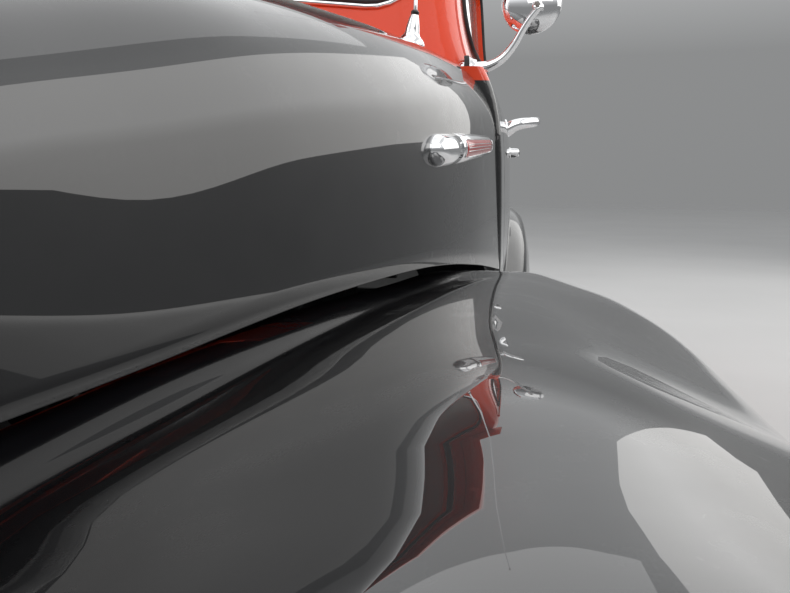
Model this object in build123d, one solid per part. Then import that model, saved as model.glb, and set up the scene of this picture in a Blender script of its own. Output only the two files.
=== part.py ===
from build123d import *
import math
import os

# A round-bodied panel van of about 1950, at its real size, in millimetres.
# +Z is up, the van faces -Y, and its left-hand (driver's) side is +X.
# The origin is on the floor, at the middle of the overall length.

# Driving dimensions of the whole vehicle
WHEELBASE = 2946.0
FRONT_OVERHANG = 790.0
REAR_OVERHANG = 1310.0
FRONT_TRACK = 1470.0
REAR_TRACK = 1550.0
TYRE_RADIUS = 370.0
TYRE_WIDTH = 168.0
RIM_RADIUS = 206.0
KINGPIN_OFFSET = 95.0
STEERING_LOCK = 30.0

# Places along the van are measured back from the front axle
FRONT_AXLE_Y = -(WHEELBASE + REAR_OVERHANG - FRONT_OVERHANG) / 2


def back(distance):
    """The Y of a place that many millimetres behind the front axle."""
    return FRONT_AXLE_Y + distance


REAR_AXLE_Y = back(WHEELBASE)
AXLE_Z = TYRE_RADIUS

# Sheet and wall thicknesses, and clearances
SHEET = 6.0
WALL = 36.0
SHUT_GAP = 7.0
SEAT_GAP = 0.3
RUNNING_GAP = 0.05
GLASS = 5.0

# Levels of the body
BODY_BOTTOM = 500.0
FLOOR_UNDER = 600.0
FLOOR_TOP = 640.0
BELT_Z = 1270.0
RAIL_Z = 1700.0
ROOF_Z = 1990.0
BELT_STEP = 5.0

# Plan of the body at its widest level
HOOD_GAP_AT = 636.0
WIDEST_AT = 1900.0
BODY_END_AT = 4165.0
HALF_COWL = 745.0
HALF_WIDEST = 850.0
HALF_TAIL = 815.0
SIDE_SWEEP = 0.7
TAIL_CORNER = 140.0

# Windscreen: rake as set-back per unit of height, and the vee of its two panes
SCREEN_FOOT_AT = 700.0
SCREEN_FOOT_Z = 1400.0
SCREEN_RAKE = 0.51
SCREEN_VEE = math.tan(math.radians(10.0))
PILLAR_CORNER = 85.0
TAIL_LEAN = 40.0

# Cab doors, in side view
DOOR_FRONT_AT = 800.0
DOOR_REAR_AT = 1735.0
DOOR_FOOT_Z = 562.0
DOOR_HEAD_Z = 1676.0
DOOR_HEAD_SET_BACK = 195.0
SILL_Z = 1300.0
HINGE_INSET = 25.0

# Rear doors, seen from behind
TAIL_DOOR_HALF = 672.0
TAIL_DOOR_FOOT_Z = 612.0
TAIL_DOOR_HEAD_Z = 1660.0

# Chassis
FRAME_TOP = 599.7
FRAME_DEPTH = 138.0
FRAME_OUTER = 430.0
FRAME_FLANGE = 62.0
FRAME_WEB = 6.0


def box(x0, x1, y0, y1, z0, z1):
    """A block between two corners."""
    return Pos((x0 + x1) / 2, (y0 + y1) / 2, (z0 + z1) / 2) * Box(x1 - x0, y1 - y0, z1 - z0)


def both_sides(shape):
    """A left-hand piece and its mirror image, as one compound of separate solids."""
    return Compound(children=[*shape.solids(), *mirror(shape, about=Plane.YZ).solids()])


def together(*shapes):
    """Separate solids kept as one node."""
    return Compound(children=[solid for shape in shapes for solid in shape.solids()])


def cylinder_between(start, end, radius):
    """A round bar from one point to another."""
    axis = Vector(*end) - Vector(*start)
    return Plane(origin=start, z_dir=axis) * extrude(Circle(radius), axis.length)


def offset_path(points, distance):
    """The mitred copy of an open path, moved to its left by distance."""
    ways = [(Vector(*b) - Vector(*a)).normalized() for a, b in zip(points, points[1:])]
    normals = [Vector(-way.Y, way.X) for way in ways]
    moved = [Vector(*points[0]) + normals[0] * distance]
    for point, before, after in zip(points[1:-1], normals, normals[1:]):
        moved.append(Vector(*point) + (before + after) * (distance / (1 + before.dot(after))))
    moved.append(Vector(*points[-1]) + normals[-1] * distance)
    return [(point.X, point.Y) for point in moved]


def band(points, radii, thickness):
    """A strip of sheet: an open path with rounded corners and its copy to the left."""
    inner = offset_path(points, thickness)
    inner_radii = []
    for a, b, c, radius in zip(points, points[1:], points[2:], radii):
        turn = (b[0] - a[0]) * (c[1] - b[1]) - (b[1] - a[1]) * (c[0] - b[0])
        inner_radii.append(radius - thickness if turn > 0 else radius + thickness)
    outline = [
        *FilletPolyline(*points, radius=radii).edges(),
        Line(points[-1], inner[-1]).edge(),
        *FilletPolyline(*inner, radius=inner_radii).edges(),
        Line(inner[0], points[0]).edge(),
    ]
    return make_face(outline)


def between(table, steps):
    """A table's rows with steps - 1 more between each two, on smooth curves through its columns."""
    rows = []
    last = len(table) - 1
    for i in range(last):
        around = (table[max(i - 1, 0)], table[i], table[i + 1], table[min(i + 2, last)])
        for step in range(steps):
            t = step / steps
            weights = (
                (-t + 2 * t ** 2 - t ** 3) / 2,
                (2 - 5 * t ** 2 + 3 * t ** 3) / 2,
                (t + 4 * t ** 2 - 3 * t ** 3) / 2,
                (-(t ** 2) + t ** 3) / 2,
            )
            rows.append([sum(w * v for w, v in zip(weights, column)) for column in zip(*around)])
    rows.append(list(table[last]))
    return rows


def fan_plane(y, z, degrees):
    """A plane that holds X and a ray from (y, z): 0 points forward, 90 up, 180 back."""
    turn = math.radians(degrees)
    return Plane(origin=(0, y, z), x_dir=(1, 0, 0), z_dir=(0, -math.sin(turn), -math.cos(turn)))


# The body is made of two closed forms, below and above the belt line

LOWER_LEVELS = [
    # height, how far the side is inboard of its widest
    (BODY_BOTTOM, 46.0),
    (780.0, 10.0),
    (1010.0, 0.0),
    (1150.0, 4.0),
    (1220.0, 15.0),
    (BELT_Z, 36.0),
]


def plan_outline(z, front, rear, halves, radii, vee):
    """A closed plan outline at height z, with its front vee, two side bows and four corners.
    halves are the half widths at the front, the widest place and the rear;
    radii are those of the vee, the front corners and the rear corners."""
    half_front, half_mid, half_rear = halves
    middle = front + (rear - front) * (WIDEST_AT - HOOD_GAP_AT) / (BODY_END_AT - HOOD_GAP_AT)
    side = [(half_front, front + half_front * vee), (half_mid, middle), (half_rear, rear)]
    points = [(0, front), *side, *[(-x, y) for x, y in reversed(side)]]
    r_vee, r_front, r_rear = radii
    run = middle - side[0][1]
    turn = math.atan((half_mid - half_front) / run) + math.atan((half_mid - half_rear) / (rear - middle))
    r_side = SIDE_SWEEP * run / math.tan(turn / 2)
    rounding = [r_vee, r_front, r_side, r_rear, r_rear, r_side, r_front]
    return Pos(0, 0, z) * make_face(FilletPolyline(*points, radius=rounding, close=True))


def lower_form(grow=0.0):
    """The closed form below the belt, moved outwards by grow."""
    faces = []
    for z, inset in LOWER_LEVELS:
        halves = [half - inset + grow for half in (HALF_COWL, HALF_WIDEST, HALF_TAIL)]
        radii = (200, 14 + max(grow, -10), TAIL_CORNER + grow)
        faces.append(
            plan_outline(z, back(HOOD_GAP_AT) - grow, back(BODY_END_AT) + grow, halves, radii, 0.0004)
        )
    return loft(faces)


UPPER_LEVELS = [
    # height, how far the side is inboard of the body's widest
    (BELT_Z, 36.0 + BELT_STEP),
    (1345.0, 68.0),
    (1430.0, 82.0),
    (RAIL_Z, 108.0),
]
RAIL_INSET = UPPER_LEVELS[-1][1]
SIDE_LEAN = (RAIL_INSET - UPPER_LEVELS[-2][1]) / (RAIL_Z - UPPER_LEVELS[-2][0])
REAR_LEAN = TAIL_LEAN / (RAIL_Z - BELT_Z)


def screen_y(z):
    """The Y of the windscreen's surface at the centre line, at height z."""
    return back(SCREEN_FOOT_AT + (z - SCREEN_FOOT_Z) * SCREEN_RAKE)


def glasshouse_form(grow=0.0):
    """The closed form of the glasshouse, between the belt and the rail."""
    faces = []
    for z, inset in UPPER_LEVELS:
        halves = [half - inset + grow for half in (HALF_COWL, HALF_WIDEST, HALF_TAIL)]
        rear = back(BODY_END_AT - BELT_STEP) - REAR_LEAN * (z - BELT_Z) + grow
        radii = (20, PILLAR_CORNER + grow, TAIL_CORNER + grow)
        faces.append(plan_outline(z, screen_y(z) - grow, rear, halves, radii, SCREEN_VEE))
    return loft(faces)


ROOF_ANGLES = (0, 18, 36, 52, 66, 77, 86)
ROOF_POWER = 0.86
ROOF_FRONT_RUN = 1230.0
ROOF_REAR_RUN = 1500.0


def roof_form(grow=0.0):
    """The domed roof above the rail, as plan outlines that shrink along a superellipse
    and start at the lean of the sides, the windscreen and the tail."""
    faces = []
    for degrees in ROOF_ANGLES:
        share = math.cos(math.radians(degrees)) ** ROOF_POWER
        lift = (ROOF_Z - RAIL_Z + grow) * math.sin(math.radians(degrees)) ** ROOF_POWER
        inset = 1 - share
        rail = [half - RAIL_INSET + grow for half in (HALF_COWL, HALF_WIDEST, HALF_TAIL)]
        halves = [(half - lift * SIDE_LEAN) * share for half in rail]
        front = screen_y(RAIL_Z) - grow + lift * SCREEN_RAKE + ROOF_FRONT_RUN * inset
        rear = back(BODY_END_AT - BELT_STEP - TAIL_LEAN) + grow - lift * REAR_LEAN - ROOF_REAR_RUN * inset
        front_corner = (PILLAR_CORNER + grow) / rail[0]
        rear_corner = (TAIL_CORNER + grow) / rail[2]
        radii = (
            20 + 700 * inset,
            halves[0] * (front_corner + (0.85 - front_corner) * math.sqrt(inset)),
            halves[2] * (rear_corner + (0.85 - rear_corner) * math.sqrt(inset)),
        )
        faces.append(plan_outline(RAIL_Z + lift, front, rear, halves, radii, SCREEN_VEE * share))
    return loft(faces)


def upper_form(grow=0.0):
    """The closed form above the belt: glasshouse and roof."""
    return glasshouse_form(grow) + roof_form(grow)


# The hood is one sheet, lofted through strips that lean forward towards its nose

HOOD_SECTIONS = [
    # place, lean, edge height, half width of the edge, shoulder x, shoulder height, crown, radius
    (630, 0, 930, 743, 728, 328, 565, 150),
    (420, 0, 961, 700, 680, 291, 513, 150),
    (210, 0, 981, 636, 613, 263, 466, 150),
    (0, 0, 975, 545, 520, 251, 437, 146),
    (-190, 0, 951, 447, 419, 239, 400, 140),
    (-330, 20, 938, 382, 350, 196, 328, 124),
    (-410, 45, 926, 346, 304, 144, 246, 104),
    (-450, 68, 903, 326, 270, 105, 181, 80),
    (-470, 89, 882, 316, 252, 84, 142, 64),
]
CROWN_SHARE = 0.7


def hood_strip(section, thickness, grow=0.0):
    """One strip across the hood, in its leaning plane."""
    place, lean, edge_z, half, shoulder_x, shoulder_h, crown, radius = section
    side = [(half + grow, 0), (shoulder_x + grow, shoulder_h + grow), (0, crown + grow)]
    points = [*side, *[(-x, h) for x, h in reversed(side[:-1])]]
    crown_radius = CROWN_SHARE * shoulder_x ** 2 / (crown - shoulder_h)
    strip = band(points, [radius + grow, crown_radius, radius + grow], thickness)
    return fan_plane(back(place), edge_z, 90 - lean) * strip


def hood_panel():
    """The hood's sheet, from the cowl gap to the lip over the grille."""
    return loft([hood_strip(section, SHEET) for section in between(HOOD_SECTIONS, 3)], ruled=True)


def hood_side_form(grow=0.0):
    """The closed form under the upright part of the hood, ahead of the cowl."""
    faces = []
    for place, lean, edge_z, half, shoulder_x, shoulder_h, crown, radius in between(HOOD_SECTIONS[:4], 3):
        side = [(half + grow, 0), (shoulder_x + grow, shoulder_h + grow), (0, crown + grow)]
        points = [*side, *[(-x, h) for x, h in reversed(side[:-1])]]
        crown_radius = CROWN_SHARE * shoulder_x ** 2 / (crown - shoulder_h)
        outline = FilletPolyline(*points, radius=[radius + grow, crown_radius, radius + grow])
        base = Line(points[-1], points[0])
        faces.append(fan_plane(back(place), edge_z, 90) * make_face([*outline.edges(), base.edge()]))
    return loft(faces, ruled=True)


# Front fenders: strips in planes that fan round the wheel, from the grille to the sill

FENDER_SECTIONS = [
    # angle, then X and radius of the lip, shoulder, crown, valley and seam, then three roundings
    (6, 945, 455, 880, 590, 690, 640, 590, 634, 550, 630, 130, 200, 80),
    (20, 960, 450, 892, 628, 690, 684, 580, 672, 538, 664, 150, 200, 80),
    (34, 975, 440, 913, 747, 725, 781, 562, 749, 520, 738, 170, 180, 80),
    (44, 980, 432, 935, 738, 730, 877, 420, 757, 345, 763, 173, 151, 90),
    (55, 983, 428, 952, 675, 716, 785, 431, 659, 352, 667, 176, 154, 90),
    (70, 984, 425, 955, 550, 702, 683, 494, 599, 418, 607, 175, 164, 70),
    (88, 984, 425, 948, 529, 708, 629, 582, 590, 510, 592, 177, 162, 60),
    (106, 984, 425, 938, 576, 735, 634, 653, 619, 596, 620, 181, 142, 55),
    (124, 981, 430, 932, 635, 790, 697, 729, 705, 672, 706, 170, 111, 50),
    (131, 978, 432, 930, 656, 811, 712, 762, 739, 702, 754, 156, 103, 54),
    (139, 974, 435, 927, 678, 830, 722, 789, 766, 728, 818, 143, 99, 60),
    (156, 964, 440, 934, 668, 856, 742, 795, 770, 730, 784, 105, 90, 60),
    (172, 948, 450, 930, 690, 865, 752, 800, 772, 730, 780, 90, 80, 60),
]
FENDER_FOOT_FRONT = 470.0
FENDER_FOOT_REAR = 474.0
LAMP_X = 660.0
LAMP_Z = 822.0
LAMP_FACE_AT = -692.0
POD_RADIUS = 122.0
POD_DEPTH = 170.0


def fender_strip(section):
    """One strip across the front fender, in its plane through the wheel's axis."""
    degrees, *corners = section
    points = list(zip(corners[0:10:2], corners[1:10:2]))
    return fan_plane(back(0), AXLE_Z, degrees) * band(points, corners[10:], SHEET)


def front_fender():
    """The left front fender, with its headlamp pod."""
    strips = [fender_strip(section) for section in between(FENDER_SECTIONS, 2)]
    sheet = loft(strips, ruled=True)
    sheet -= lamp_cylinder(POD_RADIUS + SEAT_GAP, 200)
    sheet -= box(400, 1050, back(-800), back(0), 300, FENDER_FOOT_FRONT)
    sheet -= box(400, 1050, back(0), back(900), 300, FENDER_FOOT_REAR)
    sheet -= box(400, 1050, back(DOOR_FRONT_AT - SHUT_GAP), back(950), 300, 1100)
    return sheet - lower_form(SEAT_GAP)


def lamp_cylinder(radius, depth, start=0.0):
    """A cylinder on the left headlamp's axis, from start behind its face."""
    face = Plane(origin=(LAMP_X, back(LAMP_FACE_AT) + start, LAMP_Z), z_dir=(0, 1, 0))
    return face * extrude(Circle(radius), depth)


REAR_FENDER_SECTIONS = [
    # angle, then X and radius of the lip, shoulder and seam
    (8, 948, 432, 922, 572, 790, 628),
    (38, 966, 425, 938, 566, 790, 630),
    (72, 972, 422, 945, 552, 790, 612),
    (106, 972, 422, 944, 558, 790, 620),
    (142, 964, 425, 932, 600, 790, 672),
    (172, 945, 432, 912, 652, 790, 735),
]


def rear_fender():
    """The left rear fender, which ends on the body's side."""
    strips = []
    for degrees, *corners in between(REAR_FENDER_SECTIONS, 3):
        points = list(zip(corners[0::2], corners[1::2]))
        strips.append(fan_plane(REAR_AXLE_Y, AXLE_Z, degrees) * band(points, [95], SHEET))
    sheet = loft(strips, ruled=True)
    sheet -= box(700, 1050, back(1800), back(4300), 300, FENDER_FOOT_REAR)
    return sheet - lower_form(SEAT_GAP)


# The cowl's dome carries the hood's rear section back under the windscreen

DOME_SECTIONS = [
    # place, half width at the foot, shoulder x, shoulder height, crown, radius
    (HOOD_GAP_AT, 743.0, 728.0, 1258.0, 1495.0, 150.0),
    (880.0, 760.0, 748.0, 1284.0, 1535.0, 150.0),
]
DOME_FOOT_Z = 930.0


def cowl_dome(grow=0.0):
    """The closed form of the cowl's top, above the belt."""
    faces = []
    for place, half, shoulder_x, shoulder_z, crown, radius in DOME_SECTIONS:
        crown_radius = CROWN_SHARE * shoulder_x ** 2 / (crown - shoulder_z)
        half_width = half + grow
        side = [(half_width, DOME_FOOT_Z), (shoulder_x + grow, shoulder_z + grow), (0, crown + grow)]
        points = [*side, *[(-x, z) for x, z in reversed(side[:-1])]]
        outline = FilletPolyline(*points, radius=[radius + grow, crown_radius, radius + grow])
        base = Line(points[-1], points[0])
        plane = Plane(origin=(0, back(place), 0), x_dir=(1, 0, 0), z_dir=(0, -1, 0))
        faces.append(plane * make_face([*outline.edges(), base.edge()]))
    return loft(faces, ruled=True) & box(-900, 900, back(HOOD_GAP_AT), back(900), BELT_Z, 1600)


def side_prism(points, radii, x0=450.0, x1=1000.0):
    """A prism along X from an outline given as place and height."""
    face = make_face(FilletPolyline(*[(back(place), z) for place, z in points], radius=radii, close=True))
    plane = Plane(origin=(x0, 0, 0), x_dir=(0, 1, 0), z_dir=(1, 0, 0))
    return plane * extrude(face, x1 - x0)


def rear_prism(points, radii, y0, y1):
    """A prism along Y from an outline given as X and height."""
    face = make_face(FilletPolyline(*points, radius=radii, close=True))
    plane = Plane(origin=(0, y1, 0), x_dir=(1, 0, 0), z_dir=(0, -1, 0))
    return plane * extrude(face, y1 - y0)


def door_prism(grow=0.0):
    """The outline of a cab door, grown all round."""
    head_at = DOOR_FRONT_AT + DOOR_HEAD_SET_BACK
    points = [
        (DOOR_FRONT_AT - grow, DOOR_FOOT_Z - grow),
        (DOOR_REAR_AT + grow, DOOR_FOOT_Z - grow),
        (DOOR_REAR_AT + grow, DOOR_HEAD_Z + grow),
        (head_at - grow * 0.8, DOOR_HEAD_Z + grow),
        (DOOR_FRONT_AT - grow, SILL_Z),
    ]
    return side_prism(points, [30 + grow, 70 + grow, 80 + grow, 60 + grow, 60 + grow])


DOOR_WINDOW = [
    # place, height
    (902.0, 1352.0),
    (1662.0, 1352.0),
    (1662.0, 1618.0),
    (1034.0, 1618.0),
]
SCREEN_PANE = [
    # X, height
    (26.0, 1446.0),
    (575.0, 1412.0),
    (556.0, 1664.0),
    (26.0, 1676.0),
]
TAIL_WINDOW = [
    # X, height
    (150.0, 1352.0),
    (530.0, 1352.0),
    (530.0, 1606.0),
    (150.0, 1606.0),
]


def door_window(shrink=0.0):
    """The prism of a cab door's window."""
    (a, low), (b, _), (c, high), (d, _) = DOOR_WINDOW
    points = [
        (a + shrink, low + shrink),
        (b - shrink, low + shrink),
        (c - shrink, high - shrink),
        (d + shrink * 0.8, high - shrink),
    ]
    return side_prism(points, [45, 55, 60, 45])


def screen_pane(shrink=0.0):
    """The prism of the left windscreen pane."""
    (a, low), (b, corner), (c, high), (d, top) = SCREEN_PANE
    points = [
        (a + shrink, low + shrink),
        (b - shrink, corner + shrink),
        (c - shrink, high - shrink),
        (d + shrink, top - shrink),
    ]
    return rear_prism(points, [12, 70, 60, 12], back(560), back(1100))


def tail_window(shrink=0.0):
    """The prism of the left rear door's window."""
    (a, low), (b, _), (c, high), (d, _) = TAIL_WINDOW
    points = [
        (a + shrink, low + shrink),
        (b - shrink, low + shrink),
        (c - shrink, high - shrink),
        (d + shrink, high - shrink),
    ]
    return rear_prism(points, [60, 70, 70, 60], back(3900), back(4300))


def tail_door_prism(grow=0.0):
    """The outline of the left rear door, grown all round; the gap between the doors is shared."""
    inner = SHUT_GAP / 2 - grow
    points = [
        (inner, TAIL_DOOR_FOOT_Z - grow),
        (TAIL_DOOR_HALF + grow, TAIL_DOOR_FOOT_Z - grow),
        (TAIL_DOOR_HALF + grow, TAIL_DOOR_HEAD_Z + grow),
        (inner, TAIL_DOOR_HEAD_Z + grow),
    ]
    return rear_prism(points, [8, 50 + grow, 110 + grow, 8], back(3900), back(4300))


class Shells:
    """The closed forms of the body and what is cut from them, each made once."""

    def __init__(self):
        self.lower = lower_form()
        self.upper = upper_form() & box(-900, 900, back(HOOD_GAP_AT), back(4300), BELT_Z, 2100)
        self.dome = cowl_dome()
        self.lower_shell = self.lower - lower_form(-WALL)
        inner_dome = cowl_dome(-12) & box(-900, 900, back(HOOD_GAP_AT + 14), back(900), BELT_Z, 1600)
        inner_upper = upper_form(-WALL) & box(
            -900, 900, back(HOOD_GAP_AT + WALL), back(4300), BELT_Z, 2100
        )
        self.upper_shell = (self.upper + self.dome) - (inner_upper + inner_dome)
        self.outside = self.lower + self.upper + self.dome


def arch_cylinder(y, radius, x0, x1):
    """A cylinder along X about a wheel's axis."""
    return Plane(origin=(x0, y, AXLE_Z), z_dir=(1, 0, 0)) * extrude(Circle(radius), x1 - x0)


REST_REACH = 22.0
REST_GAP = 0.5
REST_HALF = 30.0
REST_X = 330.0
ARCH_RADIUS = 430.0
HOUSE_INNER = 655.0
HOUSE_OUTER = 803.0


def body_sides(shells):
    """The lower body's walls, with the doorways, the wheel arches and the frame's notch."""
    shell = shells.lower_shell
    doorway = door_prism(SHUT_GAP)
    shell -= doorway
    shell -= mirror(doorway, about=Plane.YZ)
    shell -= rear_prism(
        [(-TAIL_DOOR_HALF - SHUT_GAP, TAIL_DOOR_FOOT_Z - SHUT_GAP),
         (TAIL_DOOR_HALF + SHUT_GAP, TAIL_DOOR_FOOT_Z - SHUT_GAP),
         (TAIL_DOOR_HALF + SHUT_GAP, 1800), (-TAIL_DOOR_HALF - SHUT_GAP, 1800)],
        [57, 57, 20, 20], back(3900), back(4300))
    shell -= arch_cylinder(REAR_AXLE_Y, ARCH_RADIUS, -1000, 1000)
    shell -= box(-FRAME_OUTER - 8, FRAME_OUTER + 8, back(600), back(700), BODY_BOTTOM - 10, FLOOR_UNDER + 0.3)
    return shell


def cowl_rests():
    """Rests on the cowl's front face, on which the closed hood lies."""
    section = (HOOD_GAP_AT, *HOOD_SECTIONS[0][1:])
    ring = hood_strip(section, SHEET, -SHEET - REST_GAP)
    rests = extrude(ring, REST_REACH, dir=(0, -1, 0)) + extrude(ring, SHEET, dir=(0, 1, 0))
    return rests & together(*[
        box(x - REST_HALF, x + REST_HALF, back(500), back(700), BELT_Z, ROOF_Z) for x in (-REST_X, 0, REST_X)
    ])


def upper_body(shells):
    """The cowl's top, the glasshouse and the roof."""
    shell = shells.upper_shell + cowl_rests()
    doorway = door_prism(SHUT_GAP)
    shell -= doorway
    shell -= mirror(doorway, about=Plane.YZ)
    grown = SHUT_GAP
    shell -= rear_prism(
        [(-TAIL_DOOR_HALF - grown, 1100), (TAIL_DOOR_HALF + grown, 1100),
         (TAIL_DOOR_HALF + grown, TAIL_DOOR_HEAD_Z + grown),
         (-TAIL_DOOR_HALF - grown, TAIL_DOOR_HEAD_Z + grown)],
        [20, 20, 117, 117], back(3900), back(4300))
    pane = screen_pane()
    shell -= pane
    shell -= mirror(pane, about=Plane.YZ)
    return shell


def cab_door(shells):
    """The left cab door, as thick as the body's wall, with its window cut."""
    prism = door_prism()
    door = (shells.lower_shell & prism) + (shells.upper_shell & prism)
    return door - door_window()


def tail_door(shells):
    """The left rear door."""
    prism = tail_door_prism()
    door = (shells.lower_shell & prism) + (shells.upper_shell & prism)
    return door - tail_window()


def glazing():
    """The thin closed skin from which each pane of glass is cut."""
    return glasshouse_form(-12) - glasshouse_form(-12 - GLASS)


DOOR_SWING_FROM = 785.0
DOOR_SWING_TO = 875.0
DOOR_SWING_ROOM = 17.0
TAIL_DOOR_SWING_ROOM = 18.0


def body_floor():
    """The floor, with the rear wheel houses."""
    inside = lower_form(-WALL - SEAT_GAP)
    slab = inside & box(-900, 900, back(600), back(4300), FLOOR_UNDER, FLOOR_TOP)
    slab -= box(-FRAME_OUTER - 8, FRAME_OUTER + 8, back(600), back(674), 500, 599)
    cut = arch_cylinder(REAR_AXLE_Y, ARCH_RADIUS, HOUSE_INNER + SHEET, 1000)
    slab -= cut
    slab -= mirror(cut, about=Plane.YZ)
    house = arch_cylinder(REAR_AXLE_Y, ARCH_RADIUS + SHEET, HOUSE_INNER, HOUSE_OUTER + 60) - cut
    house &= box(HOUSE_INNER - 10, 1000, back(2300), back(3600), FLOOR_UNDER, 1000)
    house &= inside
    slab += house + mirror(house, about=Plane.YZ)
    beside_hinge = box(-900, 900, back(DOOR_SWING_FROM), back(DOOR_SWING_TO), FLOOR_UNDER, FLOOR_TOP)
    slab -= beside_hinge - lower_form(-WALL - DOOR_SWING_ROOM)
    tail_edge = back(BODY_END_AT - WALL - TAIL_DOOR_SWING_ROOM)
    corner = box(TAIL_DOOR_HALF - 62, TAIL_DOOR_HALF + 10, tail_edge, back(4300), FLOOR_UNDER, FLOOR_TOP)
    return slab - both_sides(corner)


RAIL_FRONT_AT = -575.0
RAIL_REAR_AT = 4100.0
CROSS_MEMBERS = [
    # place, depth, bottom
    (-545.0, 60.0, 470.0),
    (60.0, 60.0, FRAME_TOP - FRAME_DEPTH),
    (1250.0, 60.0, 562.0),
    (2050.0, 60.0, 545.0),
    (3250.0, 60.0, 545.0),
    (4040.0, 60.0, 545.0),
]


def chassis_frame():
    """Two channel rails joined by cross members."""
    bottom = FRAME_TOP - FRAME_DEPTH
    rail = box(FRAME_OUTER - FRAME_FLANGE, FRAME_OUTER, back(RAIL_FRONT_AT), back(RAIL_REAR_AT), bottom, FRAME_TOP)
    rail -= box(
        FRAME_OUTER - FRAME_FLANGE - 1, FRAME_OUTER - FRAME_WEB,
        back(RAIL_FRONT_AT) - 1, back(RAIL_REAR_AT) + 1,
        bottom + FRAME_WEB, FRAME_TOP - FRAME_WEB,
    )
    frame = rail + mirror(rail, about=Plane.YZ)
    half = FRAME_OUTER - FRAME_WEB
    for place, length, low in CROSS_MEMBERS:
        top = low + 45 if low < 500 else FRAME_TOP - FRAME_WEB
        frame += box(-half, half, back(place) - length / 2, back(place) + length / 2, low, top)
    return frame


SPRING_X = 399.0
SPRING_WIDTH = 50.0
SPRING_DEPTH = 36.0
KINGPIN_X = FRONT_TRACK / 2 - KINGPIN_OFFSET
BEAM_HALF_DEPTH = 28.0
BEAM_DROP_Z = 305.0
BEAM_HALF_WIDTH = 25.0
PIN_RADIUS = 12.0
BOSS_RADIUS = 24.0
BOSS_HALF = 42.0
TUBE_RADIUS = 40.0


def leaf_spring(y, seat_z, rise, half_length, upwards):
    """A left-hand leaf spring along Y with its eyes and hangers; seat_z is where it meets the axle."""
    low = seat_z if upwards else seat_z - SPRING_DEPTH
    path = [(-half_length, low + rise), (-half_length / 3, low), (half_length / 3, low), (half_length, low + rise)]
    plane = Plane(origin=(SPRING_X - SPRING_WIDTH / 2, y, 0), x_dir=(0, 1, 0), z_dir=(1, 0, 0))
    spring = plane * extrude(band(path, [700, 700], SPRING_DEPTH), SPRING_WIDTH)
    top = FRAME_TOP - FRAME_DEPTH - SEAT_GAP
    for side in (-1, 1):
        eye_y = y + side * half_length
        eye_z = low + rise + SPRING_DEPTH / 2
        eye = Plane(origin=(SPRING_X - SPRING_WIDTH / 2, eye_y, eye_z), z_dir=(1, 0, 0))
        spring += eye * extrude(Circle(SPRING_DEPTH / 2 + 4), SPRING_WIDTH)
        spring += box(SPRING_X - 25, SPRING_X + 25, eye_y - 14, eye_y + 14, eye_z, top)
    return spring


def front_axle():
    """The dropped axle beam with its kingpin bosses, and both leaf springs."""
    path = [
        (KINGPIN_X, AXLE_Z - BEAM_HALF_DEPTH),
        (560, AXLE_Z - BEAM_HALF_DEPTH),
        (490, BEAM_DROP_Z - BEAM_HALF_DEPTH),
        (-490, BEAM_DROP_Z - BEAM_HALF_DEPTH),
        (-560, AXLE_Z - BEAM_HALF_DEPTH),
        (-KINGPIN_X, AXLE_Z - BEAM_HALF_DEPTH),
    ]
    plane = Plane(origin=(0, FRONT_AXLE_Y + BEAM_HALF_WIDTH, 0), x_dir=(1, 0, 0), z_dir=(0, -1, 0))
    beam = plane * extrude(band(path, [60, 60, 60, 60], -2 * BEAM_HALF_DEPTH), 2 * BEAM_HALF_WIDTH)
    for side in (-1, 1):
        place = Plane(origin=(side * KINGPIN_X, FRONT_AXLE_Y, AXLE_Z - BOSS_HALF))
        beam += place * extrude(Circle(BOSS_RADIUS), 2 * BOSS_HALF)
    for side in (-1, 1):
        place = Plane(origin=(side * KINGPIN_X, FRONT_AXLE_Y, AXLE_Z - 100))
        beam -= place * extrude(Circle(PIN_RADIUS + RUNNING_GAP), 200)
    spring = leaf_spring(FRONT_AXLE_Y, BEAM_DROP_Z + BEAM_HALF_DEPTH + SEAT_GAP, 55, 450, True)
    return together(beam, both_sides(spring))


def rear_axle():
    """The axle tube with its differential, backing plates and stubs, and both leaf springs."""
    half = REAR_TRACK / 2
    axle = arch_cylinder(REAR_AXLE_Y, TUBE_RADIUS, -half + 55, half - 55)
    outline = FilletPolyline(
        (-150, 0), (-140, 45), (-62, HOUSING_RADIUS), (62, HOUSING_RADIUS), (140, 45), (150, 0),
        radius=[10, 60, 60, 10],
    )
    housing = revolve(make_face([*outline.edges(), Line((150, 0), (-150, 0)).edge()]), Axis.X)
    axle += Pos(0, REAR_AXLE_Y, AXLE_Z) * housing
    axle += arch_cylinder(REAR_AXLE_Y, SPINDLE_RADIUS, -half - 10, half + 10)
    for x in (-half + 55, half - 61):
        axle += arch_cylinder(REAR_AXLE_Y, 150, x, x + 6)
    spring = leaf_spring(REAR_AXLE_Y, AXLE_Z - TUBE_RADIUS - SEAT_GAP, 75, 600, False)
    return together(axle, both_sides(spring))


SPINDLE_RADIUS = 22.0
LUG_TOP = AXLE_Z + BOSS_HALF + 24.0
LUG_LOW = AXLE_Z - BOSS_HALF - 24.0
STEERING_ARM = 150.0


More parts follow.
